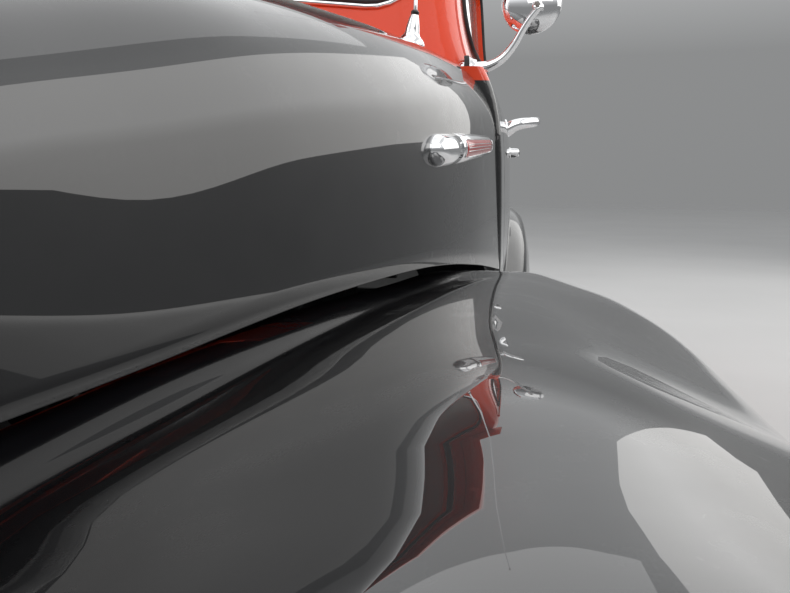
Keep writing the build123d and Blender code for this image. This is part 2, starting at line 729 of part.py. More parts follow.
def knuckle():
    """The left steering knuckle: forked lugs, kingpin, spindle, backing plate and arm."""
    x, y = KINGPIN_X, FRONT_AXLE_Y
    piece = Plane(origin=(x, y, LUG_LOW)) * extrude(Circle(PIN_RADIUS), LUG_TOP - LUG_LOW)
    for low in (LUG_LOW, AXLE_Z + BOSS_HALF + SEAT_GAP):
        height = 24.0 - SEAT_GAP
        piece += Plane(origin=(x, y, low)) * extrude(Circle(BOSS_RADIUS), height)
        piece += box(x, x + 46, y - 20, y + 20, low, low + height)
    piece += box(x + 30, x + 46, y - 28, y + 28, LUG_LOW, LUG_TOP)
    piece += arch_cylinder(y, SPINDLE_RADIUS, x + 30, FRONT_TRACK / 2 + 10)
    piece += arch_cylinder(y, 150, x + 50, x + 56)
    piece += box(x - 12, x + 12, y, y + STEERING_ARM, LUG_LOW, LUG_LOW + 18)
    piece += Plane(origin=(x, y + STEERING_ARM, LUG_LOW)) * extrude(Circle(20), 18)
    return piece - Plane(origin=(x, y + STEERING_ARM, LUG_LOW - 5)) * extrude(Circle(8 + RUNNING_GAP), 40)


def tie_rod():
    """The rod between the steering arms, with a pin up through each arm."""
    y = FRONT_AXLE_Y + STEERING_ARM
    z = LUG_LOW - 17
    rod = Plane(origin=(-KINGPIN_X, y, z), z_dir=(1, 0, 0)) * extrude(Circle(10), 2 * KINGPIN_X)
    for x in (-KINGPIN_X, KINGPIN_X):
        rod += Plane(origin=(x, y, z - 10)) * extrude(Circle(15), 10 + 17 - SEAT_GAP)
        rod += Plane(origin=(x, y, z)) * extrude(Circle(8), 17 + 16)
    return rod


def tyre():
    """A tyre about its own centre, turning on X."""
    half = TYRE_WIDTH / 2
    bead = 60.0
    low = RIM_RADIUS + SEAT_GAP
    points = [
        (-bead, low), (bead, low), (bead, RIM_RADIUS + 14), (half, 285), (half - 16, TYRE_RADIUS),
        (-half + 16, TYRE_RADIUS), (-half, 285), (-bead, RIM_RADIUS + 14),
    ]
    face = make_face(FilletPolyline(*points, radius=[3, 3, 2, 60, 24, 24, 60, 2], close=True))
    return revolve(face, Axis.X)


def wheel():
    """A pressed wheel about its own centre, with its hub and cap on the +X side."""
    bore = SPINDLE_RADIUS + RUNNING_GAP
    rim = [
        (-66, 206), (-66, 220), (-61, 220), (-61, 206), (61, 206), (61, 220), (66, 220), (66, 198),
        (34, 192), (30, 150), (27, 118), (40, 118),
    ]
    inner = [
        (78, 0), (12, 0), (12, bore), (-33, bore), (-33, 48), (16, 60), (16, 96), (22, 152), (24, 192),
        (-60, 198), (-66, 206),
    ]
    cap_rise, cap_half = inner[0][0] - rim[-1][0], rim[-1][1]
    cap_radius = (cap_half ** 2 + cap_rise ** 2) / (2 * cap_rise)
    cap = CenterArc((inner[0][0] - cap_radius, 0), cap_radius, 0, math.degrees(math.asin(cap_half / cap_radius)))
    outline = [*Polyline(*rim).edges(), cap.edge(), *Polyline(*inner).edges()]
    return revolve(make_face(outline), Axis.X)


def at_wheel(shape, side, axle):
    """A wheel's piece in its place: side is 1 on the left and -1 on the right."""
    half = FRONT_TRACK / 2 if axle == "front" else REAR_TRACK / 2
    y = FRONT_AXLE_Y if axle == "front" else REAR_AXLE_Y
    turned = shape if side > 0 else mirror(shape, about=Plane.YZ)
    return Pos(side * half, y, AXLE_Z) * turned


GEARBOX_END_AT = 1040.0
GEARBOX_Z = 520.0
HOUSING_RADIUS = 140.0
TORQUE_TUBE_RADIUS = 34.0


def engine():
    """The engine as a plain block, with its gearbox and mounts."""
    block = box(-170, 170, back(-130), back(480), GEARBOX_Z, 1000)
    gearbox = Plane(origin=(0, back(480), GEARBOX_Z), z_dir=(0, 1, 0))
    block += gearbox * extrude(Circle(76), GEARBOX_END_AT - 480)
    block += box(-FRAME_OUTER + FRAME_WEB + SEAT_GAP, FRAME_OUTER - FRAME_WEB - SEAT_GAP, back(300), back(340), 540, 562)
    block += box(-60, 60, back(40), back(80), FRAME_TOP - FRAME_DEPTH + 45 + SEAT_GAP, 521)
    return block


def torque_tube():
    """The closed drive from the gearbox's end to the differential's housing."""
    drop = GEARBOX_Z - AXLE_Z
    length = WHEELBASE - HOUSING_RADIUS - GEARBOX_END_AT
    tilt = TORQUE_TUBE_RADIUS * drop / length
    start = (0, back(GEARBOX_END_AT) + tilt + SEAT_GAP, GEARBOX_Z)
    end = (0, REAR_AXLE_Y - HOUSING_RADIUS - 2 * SEAT_GAP, AXLE_Z + 4)
    return cylinder_between(start, end, TORQUE_TUBE_RADIUS)


def exhaust():
    """The exhaust pipe, its silencer and straps, along the right-hand rail."""
    x, z = -250.0, 495.0
    pipe = cylinder_between((x, back(300), z), (x, back(3900), z), 24)
    pipe += cylinder_between((x, back(1450), z), (x, back(1950), z), 48)
    pipe += cylinder_between((x, back(3900), z), (x, back(4010), 466), 24)
    pipe += Pos(x, back(3900), z) * Sphere(24)
    pipe += cylinder_between((x, back(4010), 466), (x, back(4190), 466), 24)
    pipe += Pos(x, back(4010), 466) * Sphere(24)
    for place in (2050, 3250):
        pipe += box(x - 10, x + 10, back(place) - 10, back(place) + 10, z, 545 - SEAT_GAP)
    return pipe


def fuel_tank():
    """The fuel tank under the load floor."""
    tank = box(-130, 330, back(3330), back(3880), 455, FLOOR_UNDER - SEAT_GAP)
    return fillet(tank.edges().filter_by(Axis.Z), 45)


BOARD_TOP = FENDER_FOOT_REAR - SEAT_GAP
BOARD_FRONT_AT = 690.0
BOARD_REAR_AT = 2480.0
BOARD_OUTER = 936.0


def running_boards():
    """Both running boards, with their brackets out to the frame."""
    board = box(752, BOARD_OUTER, back(BOARD_FRONT_AT), back(BOARD_REAR_AT), BOARD_TOP - 26, BOARD_TOP)
    board -= box(700, BOARD_OUTER - 6, back(BOARD_FRONT_AT) - 1, back(BOARD_REAR_AT) + 1, BOARD_TOP - 27, BOARD_TOP - 5)
    board += box(752, 758, back(DOOR_FRONT_AT), back(BOARD_REAR_AT), BOARD_TOP - 20, BODY_BOTTOM - SEAT_GAP)
    for place in (840, 1560, 2280):
        y = back(place)
        board += box(FRAME_OUTER + SEAT_GAP, BOARD_OUTER - 4, y - 18, y + 18, BOARD_TOP - 14, BOARD_TOP - 2)
    return both_sides(board)


def bowed_bar(points, radii, thickness, low, high):
    """A bar that is bowed in plan: a path of X and place, its thickness and its levels."""
    face = band([(x, back(place)) for x, place in points], radii, thickness)
    return Pos(0, 0, low) * extrude(face, high - low)


GRILLE_BARS = [
    # half width, bottom
    (490.0, 545.0),
    (490.0, 613.0),
    (486.0, 681.0),
    (462.0, 749.0),
    (400.0, 817.0),
]


def grille():
    """Five bowed bars on two uprights, stayed to the radiator's support."""
    piece = box(286, 306, back(-618), back(-606), 545, 840)
    piece += mirror(piece, about=Plane.YZ)
    for x in (-296, 296):
        for z in (640, 800):
            piece += box(x - 10, x + 10, back(-608), back(-500) - SEAT_GAP, z - 8, z + 8)
    for half, low in GRILLE_BARS:
        piece += bowed_bar([(-half, -598), (0, -655), (half, -598)], [1500], 22, low, low + 30)
    return piece


def radiator():
    """The radiator's support on the frame, with its core."""
    support = box(-FRAME_OUTER, FRAME_OUTER, back(-500), back(-470), FLOOR_UNDER, 868)
    support -= box(-300, 300, back(-510), back(-460), 640, 830)
    support -= box(340, 500, back(-510), back(-460), 640, 900)
    support -= box(-500, -340, back(-510), back(-460), 640, 900)
    core = box(-305, 305, back(-470) + SEAT_GAP, back(-410), 625, 850)
    return together(support, core)


def bumper(front):
    """A bowed bumper bar with its brackets to the frame's end."""
    if front:
        bar = bowed_bar([(-880, -706), (-520, -768), (0, -782), (520, -768), (880, -706)], [400, 2500, 400], 8, 440, 570)
        for x in (-398, 398):
            bar += box(x - 18, x + 18, back(-772), back(RAIL_FRONT_AT) - SEAT_GAP, 476, 522)
        for x in (-300, 300):
            bar += box(x - 24, x + 24, back(-790), back(-765), 425, 620)
        return bar
    bar = bowed_bar([(840, 4190), (500, 4246), (0, 4256), (-500, 4246), (-840, 4190)], [400, 3000, 400], 8, 430, 540)
    for x in (-398, 398):
        bar += box(x - 18, x + 18, back(RAIL_REAR_AT) + SEAT_GAP, back(4244), 464, 496)
    return bar


def headlamps():
    """The headlamp pods, each with its rim; the lens closes it."""
    pod = lamp_cylinder(POD_RADIUS, 200) - lamp_cylinder(POD_RADIUS - SHEET, 195, -1)
    pod += lamp_cylinder(POD_RADIUS + 6, 16, -12) - lamp_cylinder(96, 20, -14)
    return both_sides(pod)


def lamp_lenses():
    """The headlamp lenses, in their rims."""
    return both_sides(lamp_cylinder(96 - SEAT_GAP, 20, -10))


def tail_lamps(shells):
    """Round tail lamps on the body's rear corners."""
    lamp = Plane(origin=(742, back(4090), 1010), z_dir=(0, 1, 0)) * extrude(Circle(46), 118)
    return both_sides(lamp - lower_form(SEAT_GAP))


def sun_visor(shells):
    """The outside visor over the windscreen, with the screen's vee."""
    strips = []
    for z, ahead, half in ((1655, 150, 640), (1728, -12, 650)):
        y = screen_y(z) - ahead
        path = [(-half, y + half * SCREEN_VEE), (0, y), (half, y + half * SCREEN_VEE)]
        strips.append(Pos(0, 0, z) * band(path, [60], 5))
    return loft(strips, ruled=True) - upper_form(SEAT_GAP)


SEAT_HALF = 600.0


def seat_base():
    """The bench's box frame on the floor."""
    return box(-SEAT_HALF + 20, SEAT_HALF - 20, back(1230), back(1680), FLOOR_TOP + SEAT_GAP, 850)


def seat_cushions():
    """The bench's cushion and its backrest."""
    cushion = box(-SEAT_HALF, SEAT_HALF, back(1200), back(1660), 850 + SEAT_GAP, 1000)
    rest = box(-SEAT_HALF, SEAT_HALF, back(1630), back(1725), 1000 + SEAT_GAP, 1420)
    return cushion, rest


WHEEL_X = 340.0
WHEEL_AT = 1060.0
WHEEL_Z = 1215.0
COLUMN_TILT = 46.0


def column_plane(distance):
    """A plane across the steering column, that far below the steering wheel."""
    turn = math.radians(COLUMN_TILT)
    way = Vector(0, math.cos(turn), math.sin(turn))
    return Plane(origin=Vector(WHEEL_X, back(WHEEL_AT), WHEEL_Z) - way * distance, x_dir=(1, 0, 0), z_dir=way)


DASH_FRONT_AT = HOOD_GAP_AT + WALL + 1
DASH_UNDER = 1110.0
COLUMN_RADIUS = 24.0


def dashboard():
    """The dashboard across the firewall."""
    dash = box(-640, 640, back(DASH_FRONT_AT), back(800), DASH_UNDER, 1266)
    return fillet(dash.edges().filter_by(Axis.X).sort_by(Axis.Y)[-2:], 28)


def steering_column():
    """The steering column with its bracket under the dashboard."""
    column = column_plane(500) * extrude(Circle(COLUMN_RADIUS), 460)
    column &= box(200, 500, back(DASH_FRONT_AT), back(1200), FLOOR_TOP, 1300)
    bracket = box(WHEEL_X - 20, WHEEL_X + 20, back(740), back(765), 930, DASH_UNDER - SEAT_GAP)
    return column + bracket


def steering_wheel():
    """The steering wheel, with its hub and three spokes."""
    rim = column_plane(0) * Torus(205, 12)
    hub = column_plane(40 - SEAT_GAP) * extrude(Circle(34), 50)
    shape = rim + hub
    for degrees in (90, 210, 330):
        way = column_plane(8)
        spoke = way * (Rot(0, 0, degrees) * Pos(110, 0, 0) * Box(190, 22, 9))
        shape += spoke
    return shape


HANDLE_AT = 1600.0
HANDLE_Z = 1222.0
LOCK_DROP = 68.0


def door_handle():
    """The left door's pull handle and its lock."""
    x = 812.0
    foot = (x - 40, back(HANDLE_AT), HANDLE_Z)
    elbow = (x + 64, back(HANDLE_AT), HANDLE_Z)
    rose = cylinder_between(foot, (x + 14, back(HANDLE_AT), HANDLE_Z), 24)
    post = cylinder_between(foot, elbow, 11) + Pos(*elbow) * Sphere(14)
    grip = cylinder_between(elbow, (x + 74, back(HANDLE_AT + 112), HANDLE_Z - 4), 12)
    lock_z = HANDLE_Z - LOCK_DROP
    lock = cylinder_between((x - 40, back(HANDLE_AT), lock_z), (x + 20, back(HANDLE_AT), lock_z), 15)
    outside = lower_form(SEAT_GAP)
    return together(rose + post + grip - outside, lock - outside)


MIRROR_RADIUS = 54.0
MIRROR_DEPTH = 22.0
MIRROR_CENTRE = (799.0, back(778.0), 1399.0)
MIRROR_ARM = [
    # X, place, height, radius
    (676.0, 775.0, 1274.0, 11.5),
    (703.0, 775.0, 1286.0, 11.0),
    (726.0, 774.0, 1291.0, 10.0),
    (750.0, 773.0, 1303.0, 8.5),
    (771.0, 773.0, 1326.0, 7.0),
    (785.0, 774.0, 1352.0, 6.0),
    (797.0, 776.0, 1388.0, 5.5),
]


def mirrors(shells):
    """The round mirrors on arms from the foot of each windscreen pillar."""
    discs = []
    route = [Vector(x, back(place), z) for x, place, z, _ in MIRROR_ARM]
    for i, (_, _, _, radius) in enumerate(MIRROR_ARM):
        way = route[min(i + 1, len(route) - 1)] - route[max(i - 1, 0)]
        discs.append(Plane(origin=route[i], x_dir=(0, 1, 0), z_dir=way) * Circle(radius))
    arm = loft(discs)
    dome_radius = (MIRROR_RADIUS ** 2 + MIRROR_DEPTH ** 2) / (2 * MIRROR_DEPTH)
    dome = CenterArc(
        (MIRROR_DEPTH - dome_radius, 0), dome_radius, 0,
        math.degrees(math.asin(MIRROR_RADIUS / dome_radius)),
    )
    rim = Polyline((0, MIRROR_RADIUS), (-8, MIRROR_RADIUS), (-8, 0), (MIRROR_DEPTH, 0))
    head = revolve(make_face([dome.edge(), *rim.edges()]), Axis.X)
    face = Plane(origin=MIRROR_CENTRE, x_dir=(-0.15, -1, 0.05), z_dir=(0, 0.05, 1))
    return both_sides((arm + face * head) - shells.outside)


def antenna():
    """The aerial on the left of the cowl's top."""
    base = (583, back(700), 1290)
    rod = cylinder_between(base, (583, back(700), 1352), 16)
    rod += cylinder_between((583, back(700), 1350), (600, back(730), 1900), 3)
    return rod - cowl_dome(SEAT_GAP)


WIPER_X = 300.0


def wipers(shells):
    """The wiper arms and blades on the cowl's top."""
    pivot = (WIPER_X, back(700), 1388)
    arm = cylinder_between(pivot, (WIPER_X, back(692), 1420), 10)
    arm += cylinder_between((WIPER_X, back(690), 1418), (WIPER_X - 210, back(700), 1480), 4)
    arm += cylinder_between((WIPER_X - 60, back(698), 1440), (WIPER_X - 280, back(722), 1500), 5)
    return both_sides(arm - shells.outside)


TRIM_FRONT = (651.0, back(290.0), 1120.0)
TRIM_REAR = (722.0, back(556.0), 1136.0)
TRIM_RADIUS = 20.0
TRIM_TAIL_RADIUS = 13.0


def hood_trim():
    """The bullet-shaped trim on each side of the hood, without any lettering."""
    way = Vector(*TRIM_REAR) - Vector(*TRIM_FRONT)
    front = Plane(origin=TRIM_FRONT, z_dir=way) * Circle(TRIM_RADIUS)
    rear = Plane(origin=TRIM_REAR, z_dir=way) * Circle(TRIM_TAIL_RADIUS)
    bullet = loft([front, rear]) + Pos(*TRIM_FRONT) * Sphere(TRIM_RADIUS)
    return both_sides(bullet - hood_side_form(SEAT_GAP))


def save(name, shape):
    """Write one node's STEP file."""
    export_step(shape, f"parts/{name}.step")


def main():
    os.makedirs("parts", exist_ok=True)
    shells = Shells()
    save("chassis_frame", chassis_frame())
    save("front_axle", front_axle())
    save("rear_axle", rear_axle())
    save("engine", engine())
    save("torque_tube", torque_tube())
    save("exhaust", exhaust())
    save("fuel_tank", fuel_tank())
    save("floor", body_floor())
    save("body_sides", body_sides(shells))
    save("upper_body", upper_body(shells))
    skin = glazing()
    pane = skin & screen_pane(SEAT_GAP)
    save("windshield_glass", both_sides(pane))
    save("front_fenders", both_sides(front_fender()))
    save("rear_fenders", both_sides(rear_fender()))
    save("running_boards", running_boards())
    save("grille", grille())
    save("radiator", radiator())
    save("headlamps", headlamps())
    save("lamp_lenses", lamp_lenses())
    save("tail_lamps", tail_lamps(shells))
    save("front_bumper", bumper(True))
    save("rear_bumper", bumper(False))
    save("sun_visor", sun_visor(shells))
    save("seat_base", seat_base())
    cushion, rest = seat_cushions()
    save("seat_cushion", cushion)
    save("seat_back", rest)
    save("dashboard", dashboard())
    save("steering_column", steering_column())
    save("mirrors", mirrors(shells))
    save("antenna", antenna())
    save("wipers", wipers(shells))
    save("hood", hood_panel())
    save("hood_trim", hood_trim())
    save("steering_wheel", steering_wheel())
    left_door = cab_door(shells)
    left_glass = skin & door_window(SEAT_GAP)
    left_handle = door_handle()
    left_tail = tail_door(shells)
    left_tail_glass = skin & tail_window(SEAT_GAP)
    left_knuckle = knuckle()
    sided = [
        ("door", left_door), ("door_glass", left_glass), ("door_handle", left_handle),
        ("rear_door", left_tail), ("rear_door_glass", left_tail_glass), ("knuckle", left_knuckle),
    ]
    for name, shape in sided:
        save(f"{name}_left", shape)
        save(f"{name}_right", mirror(shape, about=Plane.YZ))
    save("tie_rod", tie_rod())
    for axle in ("front", "rear"):
        for word, side in (("left", 1), ("right", -1)):
            save(f"tyre_{axle}_{word}", at_wheel(tyre(), side, axle))
            save(f"wheel_{axle}_{word}", at_wheel(wheel(), side, axle))


main()
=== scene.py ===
import math
from itertools import product
import bpy
import bmesh
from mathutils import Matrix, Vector
from mathutils.bvhtree import BVHTree


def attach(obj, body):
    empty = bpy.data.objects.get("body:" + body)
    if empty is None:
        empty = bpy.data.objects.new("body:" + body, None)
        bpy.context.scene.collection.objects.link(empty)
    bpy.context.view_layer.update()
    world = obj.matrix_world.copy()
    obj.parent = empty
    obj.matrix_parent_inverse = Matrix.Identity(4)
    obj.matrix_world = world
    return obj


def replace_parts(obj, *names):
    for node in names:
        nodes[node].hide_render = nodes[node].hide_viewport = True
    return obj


# The looks of the panel van. Metres, +Z up, the van faces -Y and its left side is +X.

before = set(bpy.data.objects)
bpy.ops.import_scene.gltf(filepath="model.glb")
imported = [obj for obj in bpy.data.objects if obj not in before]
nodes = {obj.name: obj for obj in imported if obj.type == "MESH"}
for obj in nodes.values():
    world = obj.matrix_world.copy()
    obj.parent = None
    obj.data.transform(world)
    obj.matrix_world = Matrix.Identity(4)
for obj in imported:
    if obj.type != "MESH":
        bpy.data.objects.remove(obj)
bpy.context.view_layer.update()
scene = bpy.context.scene

# Places of the CAD model that the pieces below are set against
FRONT_AXLE_Y = -1.733
REAR_AXLE_Y = 1.213
TYRE_RADIUS = 0.370
SIDES = (("left", 1), ("right", -1))


def back(distance):
    """The Y in metres of a place that many millimetres behind the front axle."""
    return FRONT_AXLE_Y + distance / 1000


def mm_back(distance):
    """The same place's Y in millimetres."""
    return back(distance) * 1000


# Camera: beside the left front corner, looking back along the hood over the fender
CAMERA_PLACE = (0.680, back(-700), 1.090)
CAMERA_YAW = math.radians(5.05)
CAMERA_PITCH = math.radians(8.95)
CAMERA_LENS = 35.1


def make_camera():
    data = bpy.data.cameras.new("camera")
    data.lens = CAMERA_LENS
    data.sensor_width = 36.0
    data.clip_start = 0.01
    data.clip_end = 200.0
    camera = bpy.data.objects.new("camera", data)
    camera.location = CAMERA_PLACE
    way = Vector((
        -math.sin(CAMERA_YAW) * math.cos(CAMERA_PITCH),
        math.cos(CAMERA_YAW) * math.cos(CAMERA_PITCH),
        -math.sin(CAMERA_PITCH),
    ))
    camera.rotation_mode = "QUATERNION"
    camera.rotation_quaternion = way.to_track_quat("-Z", "Y")
    scene.collection.objects.link(camera)
    scene.camera = camera


make_camera()


# Materials

def new_material(name, **sockets):
    """A material with its principled shader's sockets set, its tree and that shader."""
    material = bpy.data.materials.new(name)
    material.use_nodes = True
    tree = material.node_tree
    shader = next(n for n in tree.nodes if n.type == "BSDF_PRINCIPLED")
    for socket, value in sockets.items():
        shader.inputs[socket.replace("_", " ")].default_value = value
    return material, tree, shader


def add_node(tree, kind, inputs=(), **values):
    """A node with its properties set, and its inputs by name or number, each a value or a socket to link."""
    node = tree.nodes.new(kind)
    for key, value in values.items():
        setattr(node, key, value)
    for key, value in dict(inputs).items():
        if isinstance(value, bpy.types.NodeSocket):
            tree.links.new(value, node.inputs[key])
        else:
            node.inputs[key].default_value = value
    return node


def own_place(tree):
    """The place on the object, as a socket."""
    return add_node(tree, "ShaderNodeTexCoord").outputs["Object"]


def noise(tree, scale, detail=4.0, roughness=0.5, stretch=(1, 1, 1)):
    """A noise texture in object space."""
    mapping = add_node(tree, "ShaderNodeMapping", {"Vector": own_place(tree), "Scale": stretch})
    inputs = {"Vector": mapping.outputs["Vector"], "Scale": scale, "Detail": detail, "Roughness": roughness}
    return add_node(tree, "ShaderNodeTexNoise", inputs).outputs["Fac"]


def ramp(tree, source, stops):
    """A colour ramp from a value: stops are (place, colour)."""
    node = add_node(tree, "ShaderNodeValToRGB", {"Fac": source})
    elements = node.color_ramp.elements
    while len(elements) < len(stops):
        elements.new(0.5)
    for element, (place, colour) in zip(elements, stops):
        element.position = place
        element.color = colour
    return node.outputs["Color"]


def bump(tree, shader, height, strength, distance):
    """Turns a shader's normal by a height; the distance is in metres."""
    node = add_node(tree, "ShaderNodeBump", {"Strength": strength, "Distance": distance, "Height": height})
    tree.links.new(node.outputs["Normal"], shader.inputs["Normal"])


def grey(value):
    return (value, value, value, 1)


def enamel(name, depth):
    """A deep gloss lacquer with a faint haze under it, its colour still to come."""
    material, tree, shader = new_material(
        name, Specular_IOR_Level=0.12, Coat_Weight=1.0, Coat_Roughness=0.008, Coat_IOR=depth, Metallic=0.0,
    )
    haze = ramp(tree, noise(tree, 26.0, 6.0, 0.65), [(0.3, grey(0.24)), (0.75, grey(0.40))])
    tree.links.new(haze, shader.inputs["Roughness"])
    return material, tree, shader


def wavering(tree, tone, colour):
    """A colour that wavers a little between darker and lighter."""
    dark = tuple(c * 0.90 for c in colour) + (1,)
    light = tuple(min(1, c * 1.06) for c in colour) + (1,)
    return ramp(tree, tone, [(0.35, dark), (0.65, light)])


def paint(name, colour, depth=1.52):
    """Enamel in one colour."""
    material, tree, shader = enamel(name, depth)
    tree.links.new(wavering(tree, noise(tree, 1.6, 3.0), colour), shader.inputs["Base Color"])
    return material


def height_step(tree, level, softness=0.0006):
    """0 below a height in metres and 1 above it."""
    height = add_node(tree, "ShaderNodeSeparateXYZ", {"Vector": own_place(tree)}).outputs["Z"]
    inputs = {"From Min": level - softness, "From Max": level + softness, "Value": height}
    return add_node(tree, "ShaderNodeMapRange", inputs).outputs["Result"]


def two_tone(name, low, high, level, depth=1.62):
    """Enamel in two colours that meet at a height."""
    material, tree, shader = enamel(name, depth)
    tone = noise(tree, 1.6, 3.0)
    inputs = {0: height_step(tree, level), 6: wavering(tree, tone, low), 7: wavering(tree, tone, high)}
    mix = add_node(tree, "ShaderNodeMix", inputs, data_type="RGBA")
    tree.links.new(mix.outputs[2], shader.inputs["Base Color"])
    return material


def satin(name, colour, roughness=0.5, grain=0.15, scale=140.0):
    """Satin paint or bare frame metal with a little orange peel and dust."""
    material, tree, shader = new_material(name, Metallic=0.0)
    tone = noise(tree, 5.0, 5.0)
    dark = tuple(c * 0.75 for c in colour[:3]) + (1,)
    light = tuple(min(1, c * 1.25 + 0.004) for c in colour[:3]) + (1,)
    tree.links.new(ramp(tree, tone, [(0.3, dark), (0.7, light)]), shader.inputs["Base Color"])
    rough = ramp(tree, noise(tree, 18.0), [(0.3, grey(roughness - 0.1)), (0.7, grey(roughness + 0.12))])
    tree.links.new(rough, shader.inputs["Roughness"])
    bump(tree, shader, noise(tree, scale, 2.0), grain, 0.0006)
    return material


def plated(name, tint=0.82, low=0.03, high=0.12):
    """Polished chrome with faint polishing haze."""
    material, tree, shader = new_material(name, Metallic=1.0)
    shader.inputs["Base Color"].default_value = (tint, tint * 1.005, tint * 1.02, 1)
    haze = ramp(tree, noise(tree, 9.0, 6.0, 0.6), [(0.35, grey(low)), (0.75, grey(high))])
    tree.links.new(haze, shader.inputs["Roughness"])
    bump(tree, shader, noise(tree, 60.0, 2.0), 0.03, 0.0004)
    return material


def clear_glass(name, tint, alpha):
    """Tinted glass, see-through by its alpha."""
    material, tree, shader = new_material(
        name, Base_Color=tint, Alpha=alpha, Metallic=0.0, IOR=1.5, Transmission_Weight=0.0, Coat_Weight=0.5,
    )
    haze = ramp(tree, noise(tree, 6.0), [(0.3, grey(0.01)), (0.8, grey(0.05))])
    tree.links.new(haze, shader.inputs["Roughness"])
    return material


BLACK_TONE = (0.004, 0.004, 0.005)
RED_TONE = (0.92, 0.060, 0.005)
PAINT_LINE = 1.247
BLACK = paint("black_enamel", BLACK_TONE, 1.82)
RED = paint("red_enamel", RED_TONE, 1.46)
TWO_TONE = two_tone("two_tone_enamel", BLACK_TONE, RED_TONE, PAINT_LINE)
CHASSIS = satin("chassis_satin", (0.022, 0.022, 0.024), 0.5)
CHROME = plated("chrome_plate")
GLASS = clear_glass("window_glass", (0.72, 0.80, 0.78, 1), 0.28)
LAMP = clear_glass("lamp_glass", (0.9, 0.92, 0.94, 1), 0.45)
STEEL = satin("exhaust_steel", (0.28, 0.26, 0.24), 0.45)
IRON = satin("engine_grey", (0.10, 0.12, 0.14), 0.5)
RUBBER = satin("tyre_rubber", (0.018, 0.018, 0.019), 0.72, 0.4, 260.0)
VINYL = satin("seat_vinyl", (0.16, 0.055, 0.03), 0.45, 0.35, 420.0)
BAKELITE = paint("bakelite", (0.012, 0.011, 0.010))
MIRROR_GLASS = plated("mirror_glass", 0.90, 0.0, 0.02)
INLAY_RED = paint("inlay_red", (0.42, 0.02, 0.018))
LENS_RED = paint("red_lens", (0.45, 0.01, 0.008))

LOOKS = [
    (TWO_TONE, "body_sides door_left door_right rear_door_left rear_door_right"),
    (BLACK, "hood front_fenders rear_fenders running_boards grille headlamps tail_lamps"),
    (RED, "upper_body sun_visor dashboard"),
    (GLASS, "windshield_glass door_glass_left door_glass_right rear_door_glass_left rear_door_glass_right"),
    (CHASSIS, "chassis_frame front_axle rear_axle fuel_tank floor seat_base"),
    (CHASSIS, "tie_rod knuckle_left knuckle_right torque_tube"),
    (CHROME, "front_bumper rear_bumper mirrors antenna wipers hood_trim door_handle_left door_handle_right"),
    (BAKELITE, "steering_wheel steering_column"),
    (VINYL, "seat_cushion seat_back"),
    (IRON, "engine"),
    (STEEL, "exhaust"),
    (LAMP, "lamp_lenses"),
]


def dress(name, look):
    """Gives a CAD node its look."""
    nodes[name].data.materials.clear()
    nodes[name].data.materials.append(look)


for look, names in LOOKS:
    for name in names.split():
        dress(name, look)
for name in nodes:
    if name.startswith("tyre_"):
        dress(name, RUBBER)
    if name.startswith("wheel_"):
        dress(name, RED)


# Shape helpers

def rounded_path(points, radii, arc_steps=10, line_steps=4):
    """Points along an open path in a plane, its corners rounded, always as many for one step setting."""
    points = [Vector(point) for point in points]
    route = []
    start = points[0]
    for corner, before, after, radius in zip(points[1:], points, points[2:], radii):
        a = (before - corner).normalized()
        b = (after - corner).normalized()
        half = math.acos(max(-1, min(1, a.dot(b)))) / 2
        reach = radius / math.tan(half)
        first, last = corner + a * reach, corner + b * reach
        centre = corner + (a + b).normalized() * (radius / math.sin(half))
        route += [start.lerp(first, i / line_steps) for i in range(line_steps)]
        sweep = math.pi - 2 * half
        turn = 1 if (first - centre).cross(last - centre) > 0 else -1
        arm = first - centre
        for i in range(arc_steps):
            angle = turn * sweep * i / arc_steps
            cosine, sine = math.cos(angle), math.sin(angle)
            route.append(centre + Vector((arm.x * cosine - arm.y * sine, arm.x * sine + arm.y * cosine)))
        start = last
    end = points[-1]
    route += [start.lerp(end, i / line_steps) for i in range(line_steps + 1)]
    return route


def between(table, steps):
    """A table's rows with steps - 1 more between each two, on smooth curves through its columns."""
    rows = []
    last = len(table) - 1
    for i in range(last):
        around = (table[max(i - 1, 0)], table[i], table[i + 1], table[min(i + 2, last)])
        for step in range(steps):
            t = step / steps
            weights = (
                (-t + 2 * t ** 2 - t ** 3) / 2,
                (2 - 5 * t ** 2 + 3 * t ** 3) / 2,
                (t + 4 * t ** 2 - 3 * t ** 3) / 2,
                (-(t ** 2) + t ** 3) / 2,
            )
            rows.append([sum(w * v for w, v in zip(weights, column)) for column in zip(*around)])
    rows.append(list(table[last]))
    return rows


def fan_point(y, z, degrees, x, reach):
    """A point at a reach along a ray from (y, z), in metres; all that comes in is in millimetres."""
    turn = math.radians(degrees)
    return Vector((x, y - reach * math.cos(turn), z + reach * math.sin(turn))) / 1000


def link(name, mesh, look, body, smooth=35):
    """A mesh object with its material, shaded smooth below an angle, riding on a body."""
    thing = bpy.data.objects.new(name, mesh)
    scene.collection.objects.link(thing)
    if look is not None:
        thing.data.materials.append(look)
    mesh.shade_smooth()
    mesh.set_sharp_from_angle(angle=math.radians(smooth))
    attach(thing, body)
    return thing


def grid(name, rows, look, body, closed=False, flip=False, smooth=35):
    """A sheet from rows of points; closed joins each row's end to its start."""
    build = bmesh.new()
    lines = [[build.verts.new(point) for point in row] for row in rows]
    for low, high in zip(lines, lines[1:]):
        count = len(low)
        for i in range(count if closed else count - 1):
            j = (i + 1) % count
            quad = (low[i], low[j], high[j], high[i])
            build.faces.new(quad[::-1] if flip else quad)
    mesh = bpy.data.meshes.new(name)
    build.to_mesh(mesh)
    build.free()
    return link(name, mesh, look, body, smooth)


